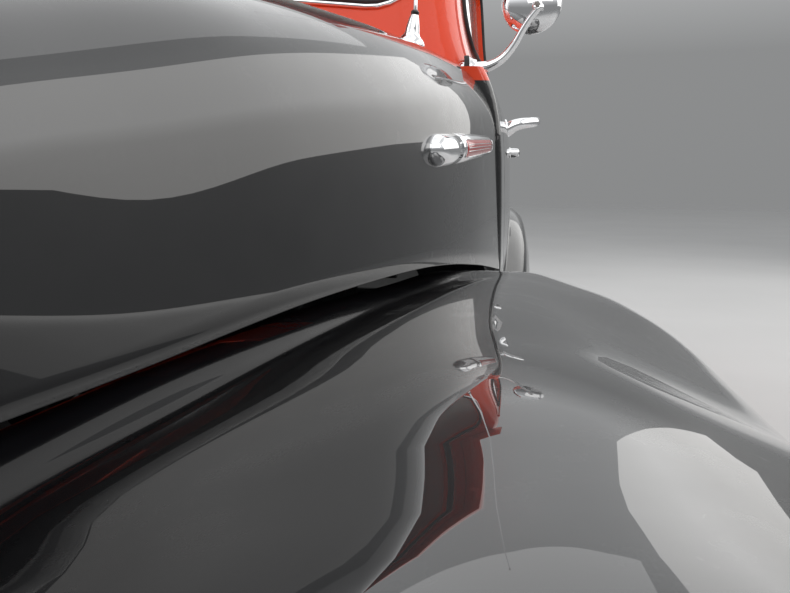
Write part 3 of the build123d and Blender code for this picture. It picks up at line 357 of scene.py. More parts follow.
def thicken(thing, depth, bevel=0.0):
    """Gives a sheet its thickness, inwards, and rounds its edges."""
    solid = thing.modifiers.new("thickness", "SOLIDIFY")
    solid.thickness = depth
    solid.offset = -1
    solid.use_even_offset = True
    if bevel:
        round_edges(thing, bevel)


def round_edges(thing, width, segments=2, angle=50):
    """Rounds the edges that are sharper than an angle."""
    edge = thing.modifiers.new("edges", "BEVEL")
    edge.width = width
    edge.segments = segments
    edge.limit_method = "ANGLE"
    edge.angle_limit = math.radians(angle)
    edge.harden_normals = False


def smooth_tree(degrees):
    """A modifier tree that joins a CAD mesh's faces and shades it smooth below an angle."""
    tree = bpy.data.node_groups.new(f"smooth_{degrees}", "GeometryNodeTree")
    tree.interface.new_socket("Geometry", in_out="INPUT", socket_type="NodeSocketGeometry")
    tree.interface.new_socket("Geometry", in_out="OUTPUT", socket_type="NodeSocketGeometry")
    angle = add_node(tree, "GeometryNodeInputMeshEdgeAngle").outputs["Unsigned Angle"]
    inputs = {0: angle, 1: math.radians(degrees)}
    above = add_node(tree, "FunctionNodeCompare", inputs, data_type="FLOAT", operation="GREATER_THAN")
    sharp = {"Selection": above.outputs[0], "Shade Smooth": False}
    chain = (
        add_node(tree, "NodeGroupInput"),
        add_node(tree, "GeometryNodeMergeByDistance", {"Distance": 0.00002}),
        add_node(tree, "GeometryNodeRemoveAttribute", {"Name": "custom_normal"}),
        add_node(tree, "GeometryNodeSetShadeSmooth", domain="FACE"),
        add_node(tree, "GeometryNodeSetShadeSmooth", sharp, domain="EDGE"),
        add_node(tree, "NodeGroupOutput"),
    )
    for before, after in zip(chain, chain[1:]):
        tree.links.new(before.outputs[0], after.inputs[0])
    return tree


SMOOTH = smooth_tree(28)
for node in nodes.values():
    node.modifiers.new("smooth", "NODES").node_group = SMOOTH


# Hood

HOOD_SECTIONS = [
    # place, lean, edge height, half width of the edge, shoulder x, shoulder height, crown, radius
    (630, 0, 930, 743, 728, 328, 565, 150),
    (420, 0, 961, 700, 680, 291, 513, 150),
    (210, 0, 981, 636, 613, 263, 466, 150),
    (0, 0, 975, 545, 520, 251, 437, 146),
    (-190, 0, 951, 447, 419, 239, 400, 140),
    (-330, 20, 938, 382, 350, 196, 328, 124),
    (-410, 45, 926, 346, 304, 144, 246, 104),
    (-450, 68, 903, 326, 270, 105, 181, 80),
    (-470, 89, 882, 316, 252, 84, 142, 64),
]
CROWN_SHARE = 0.7


def hood_row(section):
    """The points across the hood at one section."""
    place, lean, edge_z, half, shoulder_x, shoulder_h, crown, radius = section
    side = [(half, 0), (shoulder_x, shoulder_h), (0, crown)]
    points = [*side, *[(-x, h) for x, h in reversed(side[:-1])]]
    crown_radius = CROWN_SHARE * shoulder_x ** 2 / (crown - shoulder_h)
    route = rounded_path(points, [radius, crown_radius, radius], 14, 8)
    return [fan_point(FRONT_AXLE_Y * 1000 + place, edge_z, 90 - lean, x, h) for x, h in route]


def make_hood():
    rows = [hood_row(section) for section in between(HOOD_SECTIONS, 10)]
    hood = grid("hood_sheet", rows, BLACK, "hood")
    thicken(hood, 0.006, 0.0015)
    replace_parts(hood, "hood")


make_hood()


# Front fenders

FENDER_SECTIONS = [
    # angle, then X and radius of the lip, shoulder, crown, valley and seam, then three roundings
    (6, 945, 455, 880, 590, 690, 640, 590, 634, 550, 630, 130, 200, 80),
    (20, 960, 450, 892, 628, 690, 684, 580, 672, 538, 664, 150, 200, 80),
    (34, 975, 440, 913, 747, 725, 781, 562, 749, 520, 738, 170, 180, 80),
    (44, 980, 432, 935, 738, 730, 877, 420, 757, 345, 763, 173, 151, 90),
    (55, 983, 428, 952, 675, 716, 785, 431, 659, 352, 667, 176, 154, 90),
    (70, 984, 425, 955, 550, 702, 683, 494, 599, 418, 607, 175, 164, 70),
    (88, 984, 425, 948, 529, 708, 629, 582, 590, 510, 592, 177, 162, 60),
    (106, 984, 425, 938, 576, 735, 634, 653, 619, 596, 620, 181, 142, 55),
    (124, 981, 430, 932, 635, 790, 697, 729, 705, 672, 706, 170, 111, 50),
    (131, 978, 432, 930, 656, 811, 712, 762, 739, 702, 754, 156, 103, 54),
    (139, 974, 435, 927, 678, 830, 722, 789, 766, 728, 818, 143, 99, 60),
    (156, 964, 440, 934, 668, 856, 742, 795, 770, 730, 784, 105, 90, 60),
    (172, 948, 450, 930, 690, 865, 752, 800, 772, 730, 780, 90, 80, 60),
]
FENDER_FOOT_Z = 0.4742


def fender_row(section, side):
    """The points across a front fender at one section, in its plane through the wheel's axis."""
    degrees, *corners = section
    points = list(zip(corners[0:10:2], corners[1:10:2]))
    route = rounded_path(points, corners[10:], 12, 6)
    return [fan_point(FRONT_AXLE_Y * 1000, TYRE_RADIUS * 1000, degrees, x * side, r) for x, r in route]


def cut_below(thing, z):
    """Takes away what lies below a level."""
    build = bmesh.new()
    build.from_mesh(thing.data)
    everything = [*build.verts, *build.edges, *build.faces]
    bmesh.ops.bisect_plane(build, geom=everything, plane_co=(0, 0, z), plane_no=(0, 0, 1), clear_inner=True)
    build.to_mesh(thing.data)
    build.free()


def make_front_fenders():
    made = []
    for word, side in SIDES:
        rows = [fender_row(section, side) for section in between(FENDER_SECTIONS, 8)]
        fender = grid(f"front_fender_{word}", rows, BLACK, "body", flip=side > 0)
        cut_below(fender, FENDER_FOOT_Z)
        thicken(fender, 0.006, 0.0015)
        made.append(fender)
    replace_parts(made[0], "front_fenders")


make_front_fenders()


# Turned, swept and flat pieces, their measures in millimetres

def finish_mesh(name, build, look, body, smooth):
    """Links a finished mesh, its faces turned outwards."""
    bmesh.ops.recalc_face_normals(build, faces=build.faces)
    mesh = bpy.data.meshes.new(name)
    build.to_mesh(mesh)
    build.free()
    return link(name, mesh, look, body, smooth)


def skin(build, rings, closed=False):
    """Faces between rings of corners; a ring of one corner is a pole, and closed joins last to first."""
    pairs = list(zip(rings, rings[1:]))
    if closed:
        pairs.append((rings[-1], rings[0]))
    for low, high in pairs:
        count = max(len(low), len(high))
        for i in range(count):
            j = (i + 1) % count
            corners = (low[i % len(low)], low[j % len(low)], high[j % len(high)], high[i % len(high)])
            corners = list(dict.fromkeys(corners))
            if len(corners) > 2:
                build.faces.new(corners)


def lathe(name, profile, place, axis, look, body, steps=40, smooth=40, stretch=1.0, closed=False):
    """A turned piece: profile gives radius and distance along the axis, and closed makes it a ring."""
    turn = Vector((0, 0, 1)).rotation_difference(Vector(axis)).to_matrix()
    build = bmesh.new()
    rings = []
    for radius, along in profile:
        ring = []
        for i in range(steps if radius > 0.01 else 1):
            angle = math.tau * i / steps
            local = Vector((radius * math.cos(angle) * stretch, radius * math.sin(angle), along))
            ring.append(build.verts.new((Vector(place) + turn @ local) / 1000))
        rings.append(ring)
    skin(build, rings, closed)
    if not closed:
        for ring in (rings[0], rings[-1]):
            if len(ring) > 1:
                build.faces.new(ring)
    return finish_mesh(name, build, look, body, smooth)


END_ANGLES = (30, 58, 80)


def sweep(name, rows, look, body, sides=16, up=(0, 0, 1), wide=1.0, closed=False, smooth=50):
    """A tube with rounded ends along rows of x, y, z and radius, wide times as broad as it is high."""
    route = [Vector(row[:3]) for row in rows]
    radii = [row[3] for row in rows]
    last = len(route) - 1
    if closed:
        ways = [(route[(i + 1) % (last + 1)] - route[i - 1]).normalized() for i in range(last + 1)]
    else:
        ways = [(route[min(i + 1, last)] - route[max(i - 1, 0)]).normalized() for i in range(last + 1)]
    stations = list(zip(route, radii, ways))
    if not closed:
        ends = []
        for (point, radius, way), sign in ((stations[0], -1), (stations[-1], 1)):
            turns = [math.radians(degrees) for degrees in END_ANGLES]
            out = way * sign * radius
            ends.append([(point + out * math.sin(turn), radius * math.cos(turn), way) for turn in turns])
        stations = [*ends[0][::-1], *stations, *ends[1]]
    build = bmesh.new()
    rings = []
    for point, radius, way in stations:
        high = Vector(up) - way * way.dot(Vector(up))
        high.normalize()
        broad = way.cross(high) * wide
        ring = []
        for i in range(sides):
            angle = math.tau * i / sides
            spot = point + (high * math.sin(angle) + broad * math.cos(angle)) * radius
            ring.append(build.verts.new(spot / 1000))
        rings.append(ring)
    skin(build, rings, closed)
    if not closed:
        build.faces.new(rings[0])
        build.faces.new(rings[-1])
    return finish_mesh(name, build, look, body, smooth)


def slab(name, outline, depth, origin, across, up, look, body, bevel=1.0, smooth=40):
    """A plate: a closed outline of (across, up), its depth going back from origin."""
    across, up = Vector(across).normalized(), Vector(up).normalized()
    sink = across.cross(up) * depth
    build = bmesh.new()
    spots = [Vector(origin) + across * u + up * v for u, v in outline]
    front = [build.verts.new(spot / 1000) for spot in spots]
    rear = [build.verts.new((spot - sink) / 1000) for spot in spots]
    build.faces.new(front)
    build.faces.new(rear[::-1])
    skin(build, [front, rear])
    thing = finish_mesh(name, build, look, body, smooth)
    if bevel:
        round_edges(thing, bevel / 1000, 3, 40)
    return thing


def round_box(half_u, half_v, radius, steps=6):
    """The outline of a rounded rectangle about the origin."""
    points = []
    for side_u, side_v, start in ((1, 1, 0), (-1, 1, 90), (-1, -1, 180), (1, -1, 270)):
        for i in range(steps + 1):
            angle = math.radians(start + 90 * i / steps)
            points.append((
                side_u * (half_u - radius) + radius * math.cos(angle),
                side_v * (half_v - radius) + radius * math.sin(angle),
            ))
    return points


def grown(points, distance):
    """A closed outline, counter-clockwise, moved outwards."""
    result = []
    count = len(points)
    for i in range(count):
        before, here, after = (Vector(points[k % count]) for k in (i - 1, i, i + 1))
        a = (here - before).normalized()
        b = (after - here).normalized()
        normal = Vector((a.y, -a.x))
        middle = (normal + Vector((b.y, -b.x))).normalized()
        result.append(tuple(here + middle * distance / max(0.3, middle.dot(normal))))
    return result


def closed_route(points, radii, distance=0.0):
    """Points round a closed outline with rounded corners, moved outwards by a distance."""
    points = grown(points, distance)
    first = [(a + b) / 2 for a, b in zip(points[0], points[-1])]
    radii = [radius + distance for radius in radii]
    return [tuple(p) for p in rounded_path([first, *points, first], radii, 7, 9)][:-1]


TREES = {}


def surface(names, start, way):
    """Where a ray first meets some CAD nodes: the point and the outward direction, or None twice."""
    best = None
    for name in names:
        if name not in TREES:
            build = bmesh.new()
            build.from_mesh(nodes[name].data)
            TREES[name] = BVHTree.FromBMesh(build)
            build.free()
        point, normal, _, distance = TREES[name].ray_cast(Vector(start) / 1000, Vector(way).normalized())
        if point is not None and (best is None or distance < best[2]):
            best = (point * 1000, normal, distance)
    if best is None:
        return None, None
    point, normal, _ = best
    if normal.dot(Vector(way)) > 0:
        normal = -normal
    return point, normal


BESIDE_X = 1200
AHEAD_Y = mm_back(200)
BEHIND_Y = 2900
ABOVE_Z = 1800


def from_side(names, side, y, z):
    """Where a level ray from one side of the van meets some nodes, and the outward direction."""
    return surface(names, (side * BESIDE_X, y, z), (-side, 0, 0))


def on_side(names, side, y, z, proud=0.0):
    """A point on the outside of one side at a height, standing proud of it."""
    point, normal = from_side(names, side, y, z)
    return point + normal * proud


def from_ahead(x, z, names=("upper_body",)):
    """Where a level ray towards the windscreen meets some nodes, and the outward direction."""
    return surface(names, (x, AHEAD_Y, z), (0, 1, 0))


def on_tail_door(word, side, x, z):
    """A point on the outside of a rear door and the outward direction."""
    return surface((f"rear_door_{word}",), (side * x, BEHIND_Y, z), (0, -1, 0))


# Mirrors

MIRROR_ARM = [
    # X, place, height, radius
    (676, 776, 1281, 15.5),
    (690, 776, 1283, 14.0),
    (704, 776, 1285, 11.5),
    (724, 775, 1289, 9.8),
    (747, 772, 1301, 8.4),
    (768, 769, 1325, 7.2),
    (784, 764, 1352, 6.4),
    (797, 759, 1371, 6.0),
    (808, 756, 1384, 6.0),
]
MIRROR_FOOT = (776, 1281)
MIRROR_HEAD = (798, 782, 1399)
MIRROR_AXIS = (-0.15, -1.0, 0.05)
MIRROR_CLAMP = (808, 757, 1386)
MIRROR_RADIUS = 54.0
FLANGE = [(0, -3), (20.5, -3), (21, 1), (19.4, 4), (17, 9), (15.6, 15), (0, 17)]
FLANGE_GASKET = [(0, -8), (22.5, -8), (23, -1), (22, 1.5), (0, 2)]
MIRROR_BOWL = [
    # share of the radius, distance towards the front
    (0, 15), (0.3, 14.2), (0.55, 11.8), (0.78, 7.4), (0.93, 2.2), (0.974, -1.5), (1, -2.2), (1.011, -5),
    (1, -7.6), (0.972, -8.2), (0.944, -7.6), (0.937, -6), (0, -6),
]
SOCKET = [
    (0, -3), (10.5, -2), (10.5, 1), (8.2, 3), (7.2, 7), (8.6, 9), (9.4, 12), (8.6, 15), (6, 17.4), (0, 18.4),
]
SOCKET_NUT = [(0, 17.5), (5.6, 17.5), (5.9, 18.2), (5.9, 20.6), (5.2, 21.6), (3, 22.2), (0, 22.4)]
CLAMP = [(0, -9), (5.4, -9), (6.8, -7.5), (6.8, 7.5), (5.4, 9), (0, 9)]


def make_mirror(word, side):
    rows = [(side * x, mm_back(place), z, radius) for x, place, z, radius in between(MIRROR_ARM, 5)]
    arm = sweep(f"mirror_arm_{word}", rows, CHROME, "body", sides=24, up=(0, 1, 0))
    place, z = MIRROR_FOOT
    foot = on_side(("upper_body",), side, mm_back(place), z)
    lathe(f"mirror_flange_{word}", FLANGE, foot, (side, 0, 0.04), CHROME, "body", 40, 40, 1.18)
    lathe(f"mirror_gasket_{word}", FLANGE_GASKET, foot, (side, 0, 0.04), RUBBER, "body", 40, 40, 1.18)
    axis = Vector((side * MIRROR_AXIS[0], MIRROR_AXIS[1], MIRROR_AXIS[2])).normalized()
    centre = Vector((side * MIRROR_HEAD[0], mm_back(MIRROR_HEAD[1]), MIRROR_HEAD[2]))
    bowl = [(share * MIRROR_RADIUS, along) for share, along in MIRROR_BOWL]
    lathe(f"mirror_head_{word}", bowl, centre, axis, CHROME, "body", 72)
    pane = MIRROR_RADIUS - 4.2
    disc = [(0, -6.4), (pane, -6.4), (pane, -7.0), (0, -7.2)]
    lathe(f"mirror_glass_{word}", disc, centre, axis, MIRROR_GLASS, "body", 72)
    stud = centre + Vector((side * 12, 0, -10)) + axis * 11
    lathe(f"mirror_socket_{word}", SOCKET, stud, axis, CHROME, "body", 32)
    lathe(f"mirror_nut_{word}", SOCKET_NUT, stud, axis, STEEL, "body", 6, 20)
    joint = (side * MIRROR_CLAMP[0], mm_back(MIRROR_CLAMP[1]), MIRROR_CLAMP[2])
    lathe(f"mirror_clamp_{word}", CLAMP, joint, (side, 0.1, 0), CHROME, "body", 28)
    return arm


arms = [make_mirror(word, side) for word, side in SIDES]
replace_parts(arms[0], "mirrors")


# Aerial on the cowl

AERIAL_X = 583
AERIAL_PLACE = 700
AERIAL_TIP = (601, 730, 1895)
AERIAL_GASKET = [(0, -9), (27, -9), (28, -3), (27.4, 1.5), (25, 3), (0, 3)]
AERIAL_BELL = [
    (0, 2), (25.4, 2), (26, 4), (25, 8), (22.4, 12.5), (18.4, 16.4), (14.8, 20), (13.2, 24),
    (12.4, 31), (11, 38), (9.4, 45), (7.8, 51), (6.8, 54), (0, 55),
]
AERIAL_COLLAR = [(0, 54), (6.2, 54), (7.2, 55), (7.2, 59), (6, 60.4), (4.6, 62), (0, 63)]
AERIAL_KNOB = [(0, -4), (2.6, -4), (4.2, -2), (4.6, 0), (4.2, 2.2), (2.4, 4.2), (0, 4.8)]
MAST = [
    # share of the length, radius
    (0, 3.6), (0.02, 3.5), (0.33, 3.3), (0.335, 2.7), (0.66, 2.5), (0.665, 2.0), (1, 1.8),
]


def make_aerial():
    foot, _ = surface(("upper_body",), (AERIAL_X, mm_back(AERIAL_PLACE), ABOVE_Z), (0, 0, -1))
    axis = Vector((0.16, -0.08, 1.0)).normalized()
    low = foot - axis * 2
    lathe("aerial_gasket", AERIAL_GASKET, low, axis, RUBBER, "body", 56)
    base = lathe("aerial_base", AERIAL_BELL, low, axis, CHROME, "body", 64)
    lathe("aerial_collar", AERIAL_COLLAR, low, axis, BAKELITE, "body")
    x, place, z = AERIAL_TIP
    top = Vector((x, mm_back(place), z))
    start = low + axis * 61
    rows = [(*start.lerp(top, share), radius) for share, radius in MAST]
    sweep("aerial_mast", rows, CHROME, "body", sides=14, up=(0, 1, 0))
    lathe("aerial_tip", AERIAL_KNOB, top, (0.04, 0.05, 1), CHROME, "body", 24)
    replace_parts(base, "antenna")


make_aerial()


# Bullet trim on the sides of the hood

BULLET_FRONT = (644, 270, 1120)
BULLET_REAR = (710, 506, 1135)
BULLET_RADIUS = 20.5
BULLET_NOSE = (12, 26, 40, 54, 68, 80)
INLAY_FROM = 74
INLAY_STEPS = 14
INLAY_TURN = 34


def bullet_profile(span):
    """The bullet's radius along its axis: a ball nose, a waist line and a tapered tail."""
    shape = [(0, -20.6)]
    for degrees in BULLET_NOSE:
        a = math.radians(degrees)
        shape.append((BULLET_RADIUS * math.sin(a), -20.6 * math.cos(a)))
    shape += [(20.6, 2), (20.8, 30), (20.6, 62), (19.8, 63.5), (19.8, 66.5), (20.4, 68), (19.6, 120)]
    return [*shape, (18, 170), (15.6, span - 12), (14.4, span - 4), (12, span), (0, span + 1)]


def inlay_panel(start, axis, span, side):
    """Rows of points just off the bullet's outer side, in metres."""
    tail = span - 12
    panel = []
    for step in range(INLAY_STEPS + 1):
        along = INLAY_FROM + (tail - INLAY_FROM) * step / INLAY_STEPS
        radius = BULLET_RADIUS - 4.9 * ((along - 68) / (tail - 68)) ** 1.35
        taper = 0.86 if step in (0, INLAY_STEPS) else 1.0
        row = []
        for degrees in range(-INLAY_TURN, INLAY_TURN + 1, 4):
            a = math.radians(degrees) * taper
            out = Vector((side * math.cos(a), 0, math.sin(a)))
            out = (out - axis * out.dot(axis)).normalized()
            row.append((start + axis * along + out * (radius + 0.35)) / 1000)
        panel.append(row)
    return panel


def make_bullet(word, side):
    start, end = (Vector((side * x, mm_back(place), z)) for x, place, z in (BULLET_FRONT, BULLET_REAR))
    span = (end - start).length
    axis = (end - start).normalized()
    bullet = lathe(f"hood_bullet_{word}", bullet_profile(span), start, axis, CHROME, "hood", 64)
    panel = inlay_panel(start, axis, span, side)
    inlay = grid(f"bullet_inlay_{word}", panel, INLAY_RED, "hood", flip=side > 0)
    thicken(inlay, 0.0012)
    rim = [*panel[0], *[row[-1] for row in panel[1:]], *panel[-1][::-1][1:]]
    rim += [row[0] for row in panel[::-1][1:-1]]
    rows = [(*(point * 1000), 0.95) for point in rim]
    sweep(f"bullet_rim_{word}", rows, CHROME, "hood", sides=8, up=(side, 0, 0), closed=True)
    for turn in (-11, 0, 11):
        column = len(panel[0]) // 2 + round(turn / 4)
        line = [(*(row[column] * 1000 + Vector((side * 0.3, 0, 0))), 0.55) for row in panel[1:-1]]
        sweep(f"bullet_line_{word}_{turn + 11}", line, CHROME, "hood", sides=8, up=(side, 0, 0))
    return bullet


bullets = [make_bullet(word, side) for word, side in SIDES]
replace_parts(bullets[0], "hood_trim")


# Door handles and locks

HANDLE_PLACE = 1600
HANDLE_Z = 1222
LOCK_Z = 1154
HANDLE_ROUTE = [
    # X beyond the door's face, place, height, radius
    (-12, 1600, 1206, 17.5),
    (4, 1598, 1219, 18.5),
    (20, 1598, 1230, 17.5),
    (42, 1603, 1237, 16.0),
    (64, 1622, 1241, 15.0),
    (84, 1658, 1245, 14.5),
    (96, 1698, 1249, 14.0),
    (99, 1716, 1251, 12.5),
]
HANDLE_ROSE = [(0, -8), (25, -8), (25.5, -1), (24.5, 2.4), (21, 4.6), (18, 5.4), (0, 6)]
LOCK_ROSE = [
    (0, -6), (15.5, -6), (16, 0), (15, 2.2), (13.4, 3.4), (13, 16), (12.4, 24), (8.2, 27.6), (0, 28.6),
]


def make_handle(word, side):
    door = f"door_{word}"
    face = on_side((door,), side, mm_back(HANDLE_PLACE), HANDLE_Z)
    route = between(HANDLE_ROUTE, 4)
    rows = [(face.x + side * out, mm_back(place), z, radius) for out, place, z, radius in route]
    handle = sweep(f"handle_lever_{word}", rows, CHROME, door, sides=24, wide=0.78)
    rose = face + Vector((0, 0, -4))
    lathe(f"handle_rose_{word}", HANDLE_ROSE, rose, (side, 0, 0.05), CHROME, door, 48, 40, 1.25)
    low = on_side((door,), side, mm_back(HANDLE_PLACE), LOCK_Z)
    lathe(f"lock_rose_{word}", LOCK_ROSE, low, (side, 0, 0), CHROME, door)
    # The key slot is a thin dark plate on the lock's face: painted shade for the slot's depth
    slot = low + Vector((side * 29.2, 0, 0))
    key_way = round_box(1.3, 5.2, 1.2)
    slab(f"lock_slot_shade_{word}", key_way, 1.2, slot, (0, side, 0), (0, 0, 1), BAKELITE, door, 0.3)
    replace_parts(handle, f"door_handle_{word}")


for word, side in SIDES:
    make_handle(word, side)


# Window seals, drip rails and wipers

DOOR_WINDOW = [(902, 1352), (1662, 1352), (1662, 1618), (1034, 1618)]
DOOR_WINDOW_RADII = [45, 55, 60, 45]
VENT_FRAME = [(958, 1378), (1090, 1368), (1110, 1602), (1060, 1592)]
VENT_LATCH_PLACE = (1078, 1420)
VENT_LATCH = [(0, -9), (7, -9), (8, -6), (8, 3), (6, 6), (0, 7)]
SCREEN_PANE = [(26, 1446), (575, 1412), (556, 1664), (26, 1676)]
SCREEN_RADII = [12, 70, 60, 12]
TAIL_WINDOW = [(150, 1352), (530, 1352), (530, 1606), (150, 1606)]
TAIL_RADII = [60, 70, 70, 60]
DRIP_RAIL = [
    # place, height
    (884, 1330), (905, 1392), (940, 1480), (985, 1590), (1030, 1672), (1075, 1703),
    (1160, 1716), (1320, 1722), (1560, 1726), (1760, 1726), (1800, 1722),
]
NEAR_MIDDLE = 0.5


def seal(name, outline, radii, distance, place_point, proud, radius, look, body, up, wide):
    """A bead round an opening, at a distance outside its edge and proud of the surface there."""
    route = []
    for u, v in closed_route(outline, radii, distance):
        point, normal = place_point(u, v)
        if point is not None:
            route.append((*(point + normal * proud), radius))
    sweep(name, route, look, body, 12, up, wide, True)


def make_screen_seals():
    for word, side in SIDES:
        def on_screen(x, z):
            return from_ahead(side * x, z)
        pane = (SCREEN_PANE, SCREEN_RADII)
        seal(f"screen_seal_{word}", *pane, 10, on_screen, 1.5, 10.5, RUBBER, "body", (0, 1, 0), 0.62)
        seal(f"screen_bead_{word}", *pane, 19, on_screen, 3.0, 4.2, CHROME, "body", (0, 1, 0), 1.2)
    rows = []
    for z in range(1450, 1681, 23):
        point, _ = from_ahead(NEAR_MIDDLE, z)
        rows.append((0, point.y - 2, z, 8))
    sweep("screen_divider", rows, CHROME, "body", 12, (0, 1, 0), 1.5)


def make_door_seals(word, side):
    door, glass = f"door_{word}", f"door_glass_{word}"

    def on_door(place, z):
        return from_side((door,), side, mm_back(place), z)
    across = (side, 0, 0)
    seal(f"door_seal_{word}", DOOR_WINDOW, DOOR_WINDOW_RADII, 6, on_door, 1.0, 6.5, RUBBER, door, across, 0.8)
    corners = [on_side((glass,), side, mm_back(place), z, 5) for place, z in VENT_FRAME]
    rows = []
    for a, b in zip(corners, corners[1:] + corners[:1]):
        rows += [(*a.lerp(b, i / 6), 5.5) for i in range(6)]
    sweep(f"vent_frame_{word}", rows, CHROME, door, 10, across, 1.0, True)
    place, z = VENT_LATCH_PLACE
    latch = on_side((glass,), side, mm_back(place), z, -12)
    lathe(f"vent_latch_{word}", VENT_LATCH, latch, (-side, 0, 0), CHROME, door, 24)


def make_tail_seal(word, side):
    door = f"rear_door_{word}"

    def on_tail(x, z):
        return on_tail_door(word, side, x, z)
    seal(f"tail_seal_{word}", TAIL_WINDOW, TAIL_RADII, 7, on_tail, 1.5, 8, RUBBER, door, (0, 1, 0), 0.8)


def make_drip_rail(word, side):
    route = []
    for place, z in between(DRIP_RAIL, 4):
        point, normal = from_side(("upper_body",), side, mm_back(place), z)
        if point is not None:
            route.append((*(point + normal * 2.2), 4.6))
    sweep(f"drip_rail_{word}", route, RED, "body", 12, (side, 0, 0), 1.7)


WIPER_X = 300
WIPER_PLACE = 700
WIPER_TIP = (150, 1500)
WIPER_BOSS = [
    (0, -12), (15, -12), (16, 0), (14, 4), (10.5, 8), (9.4, 18), (9.8, 22), (8, 27), (4, 29.5), (0, 30),
]
WIPER_BLADE = ((30, 1520), (90, 1511), (150, 1502), (210, 1493), (275, 1484))
WIPER_RUBBER = ((26, 1520), (90, 1511), (150, 1502), (210, 1493), (279, 1484))


def on_glass(x, z, proud):
    """A point in front of the windscreen."""
    point, normal = from_ahead(x, z, ("windshield_glass", "upper_body"))
    return point + normal * proud


def make_wiper(word, side):
    foot, _ = surface(("upper_body",), (side * WIPER_X, mm_back(WIPER_PLACE), ABOVE_Z), (0, 0, -1))
    axis = Vector((0, -0.45, 1)).normalized()
    boss = lathe(f"wiper_boss_{word}", WIPER_BOSS, foot, axis, CHROME, "body", 36)
    top = foot + axis * 20
    tip_x, tip_z = WIPER_TIP
    end = on_glass(side * tip_x, tip_z, 16)
    bend = (top + end) / 2 + Vector((0, -14, 6))
    rows = between([(*top, 6.2), (*(top.lerp(bend, 0.4)), 5.4), (*bend, 4.2), (*end, 3.2)], 5)
    sweep(f"wiper_arm_{word}", rows, CHROME, "body", 12, (0, -1, 0.6), 1.5)
    blade = [(*on_glass(side * x, z, 9), 3.2) for x, z in WIPER_BLADE]
    sweep(f"wiper_blade_{word}", blade, CHROME, "body", 10, (0, -1, 0), 1.3)
    rubber = [(*on_glass(side * x, z, 4), 3.4) for x, z in WIPER_RUBBER]
    sweep(f"wiper_rubber_{word}", rubber, RUBBER, "body", 8, (0, -1, 0), 0.5)
    return boss


make_screen_seals()
for word, side in SIDES:
    make_door_seals(word, side)
    make_tail_seal(word, side)
    make_drip_rail(word, side)
bosses = [make_wiper(word, side) for word, side in SIDES]
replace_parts(bosses[0], "wipers")


# Tyres and wheels

TREAD_STEPS = 192
TREAD_ZIGZAG = (0, 2.6, 4.2, 2.6, 0, -2.6, -4.2, -2.6)
TREAD_LUG = 5.5
GROOVES = (-42, -14, 14, 42)
GROOVE_DEPTH = 8
HALF_TRACK = {"front": 735, "rear": 775}
AXLE_Y = {"front": FRONT_AXLE_Y * 1000, "rear": REAR_AXLE_Y * 1000}
WHEEL_Z = TYRE_RADIUS * 1000
CORNERS = [(axle, word, side) for axle in ("front", "rear") for word, side in SIDES]


def tyre_section(i):
    """The tyre's section at one step round it: X from its middle and radius."""
    zigzag = TREAD_ZIGZAG[i % 8]
    lug = TREAD_LUG if i % 8 in (0, 1) else 0.0
    wall = [(-56, 207), (-61, 209), (-63, 218), (-66, 228), (-71, 238), (-78, 256), (-82, 276)]
    wall += [(-82.4, 281), (-83.6, 282.5), (-83.8, 291), (-82.6, 293), (-82, 306), (-79.6, 322)]
    wall += [(-77.4, 334), (-77.2, 341 - lug * 0.4), (-74.6, 353 - lug), (-67, 362 - lug), (-60, 366.2 - lug)]
    tread = []
    for x in GROOVES:
        high = WHEEL_Z - 4.5 * (x / 66) ** 2
        for step, depth in ((-4, 0), (-2.8, GROOVE_DEPTH), (2.8, GROOVE_DEPTH), (4, 0)):
            tread.append((x + step + zigzag, high - depth))
    return [*wall, *tread, *[(-x, r) for x, r in reversed(wall)]]


TYRE_SECTIONS = [tyre_section(i) for i in range(TREAD_STEPS)]
HUBCAP = [
    (0, 39), (116, 39), (119.5, 40), (121, 42.4), (120, 45.4), (114, 50.5), (105, 55.6), (99, 57.8),
    (96.5, 57.2), (95, 58.4), (92, 61), (80, 66.6), (62, 72.6), (44, 77), (40, 77.4), (38.6, 76.4),
    (37, 77.6), (34, 79.4), (20, 81.4), (0, 82.2),
]
TRIM_RING = [
    (190.5, 36), (194.5, 56), (196.8, 66.5), (199.5, 69.4), (210, 70.6), (220, 70), (224.5, 67.8),
    (225.5, 64.5), (222, 64), (200, 64), (196, 50), (193, 37),
]
VALVE = [
    # distance outwards, radius from the wheel's axis, thickness
    (36, 165, 3.6), (44, 166, 3.4), (50, 168, 3.0), (56, 170, 2.4), (59, 171, 2.8), (63, 172, 2.6),
]


def make_wheel_dress(axle, word, side):
    """A tyre with its tread, a hubcap, a trim ring and a valve."""
    name = f"{axle}_{word}"
    body = f"road_wheel_{name}"
    x0, y0 = side * HALF_TRACK[axle], AXLE_Y[axle]
    build = bmesh.new()
    rings = []
    for i, section in enumerate(TYRE_SECTIONS):
        angle = math.tau * i / TREAD_STEPS
        cosine, sine = math.cos(angle), math.sin(angle)
        spots = [Vector((x0 + x, y0 + r * cosine, WHEEL_Z + r * sine)) for x, r in section]
        rings.append([build.verts.new(spot / 1000) for spot in spots])
    skin(build, rings, closed=True)
    tyre = finish_mesh(f"tyre_{name}_tread", build, RUBBER, body, 38)
    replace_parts(tyre, f"tyre_{name}")
    centre = Vector((x0, y0, WHEEL_Z))
    lathe(f"hubcap_{name}", HUBCAP, centre, (side, 0, 0), CHROME, body, 72, 30)
    lathe(f"trim_ring_{name}", TRIM_RING, centre, (side, 0, 0), CHROME, body, 96, closed=True)
    rows = [(x0 + side * out, y0, WHEEL_Z + r, thick) for out, r, thick in VALVE]
    sweep(f"valve_{name}", rows, RUBBER, body, 12, (0, 1, 0))


for axle, word, side in CORNERS:
    make_wheel_dress(axle, word, side)


# Lamps

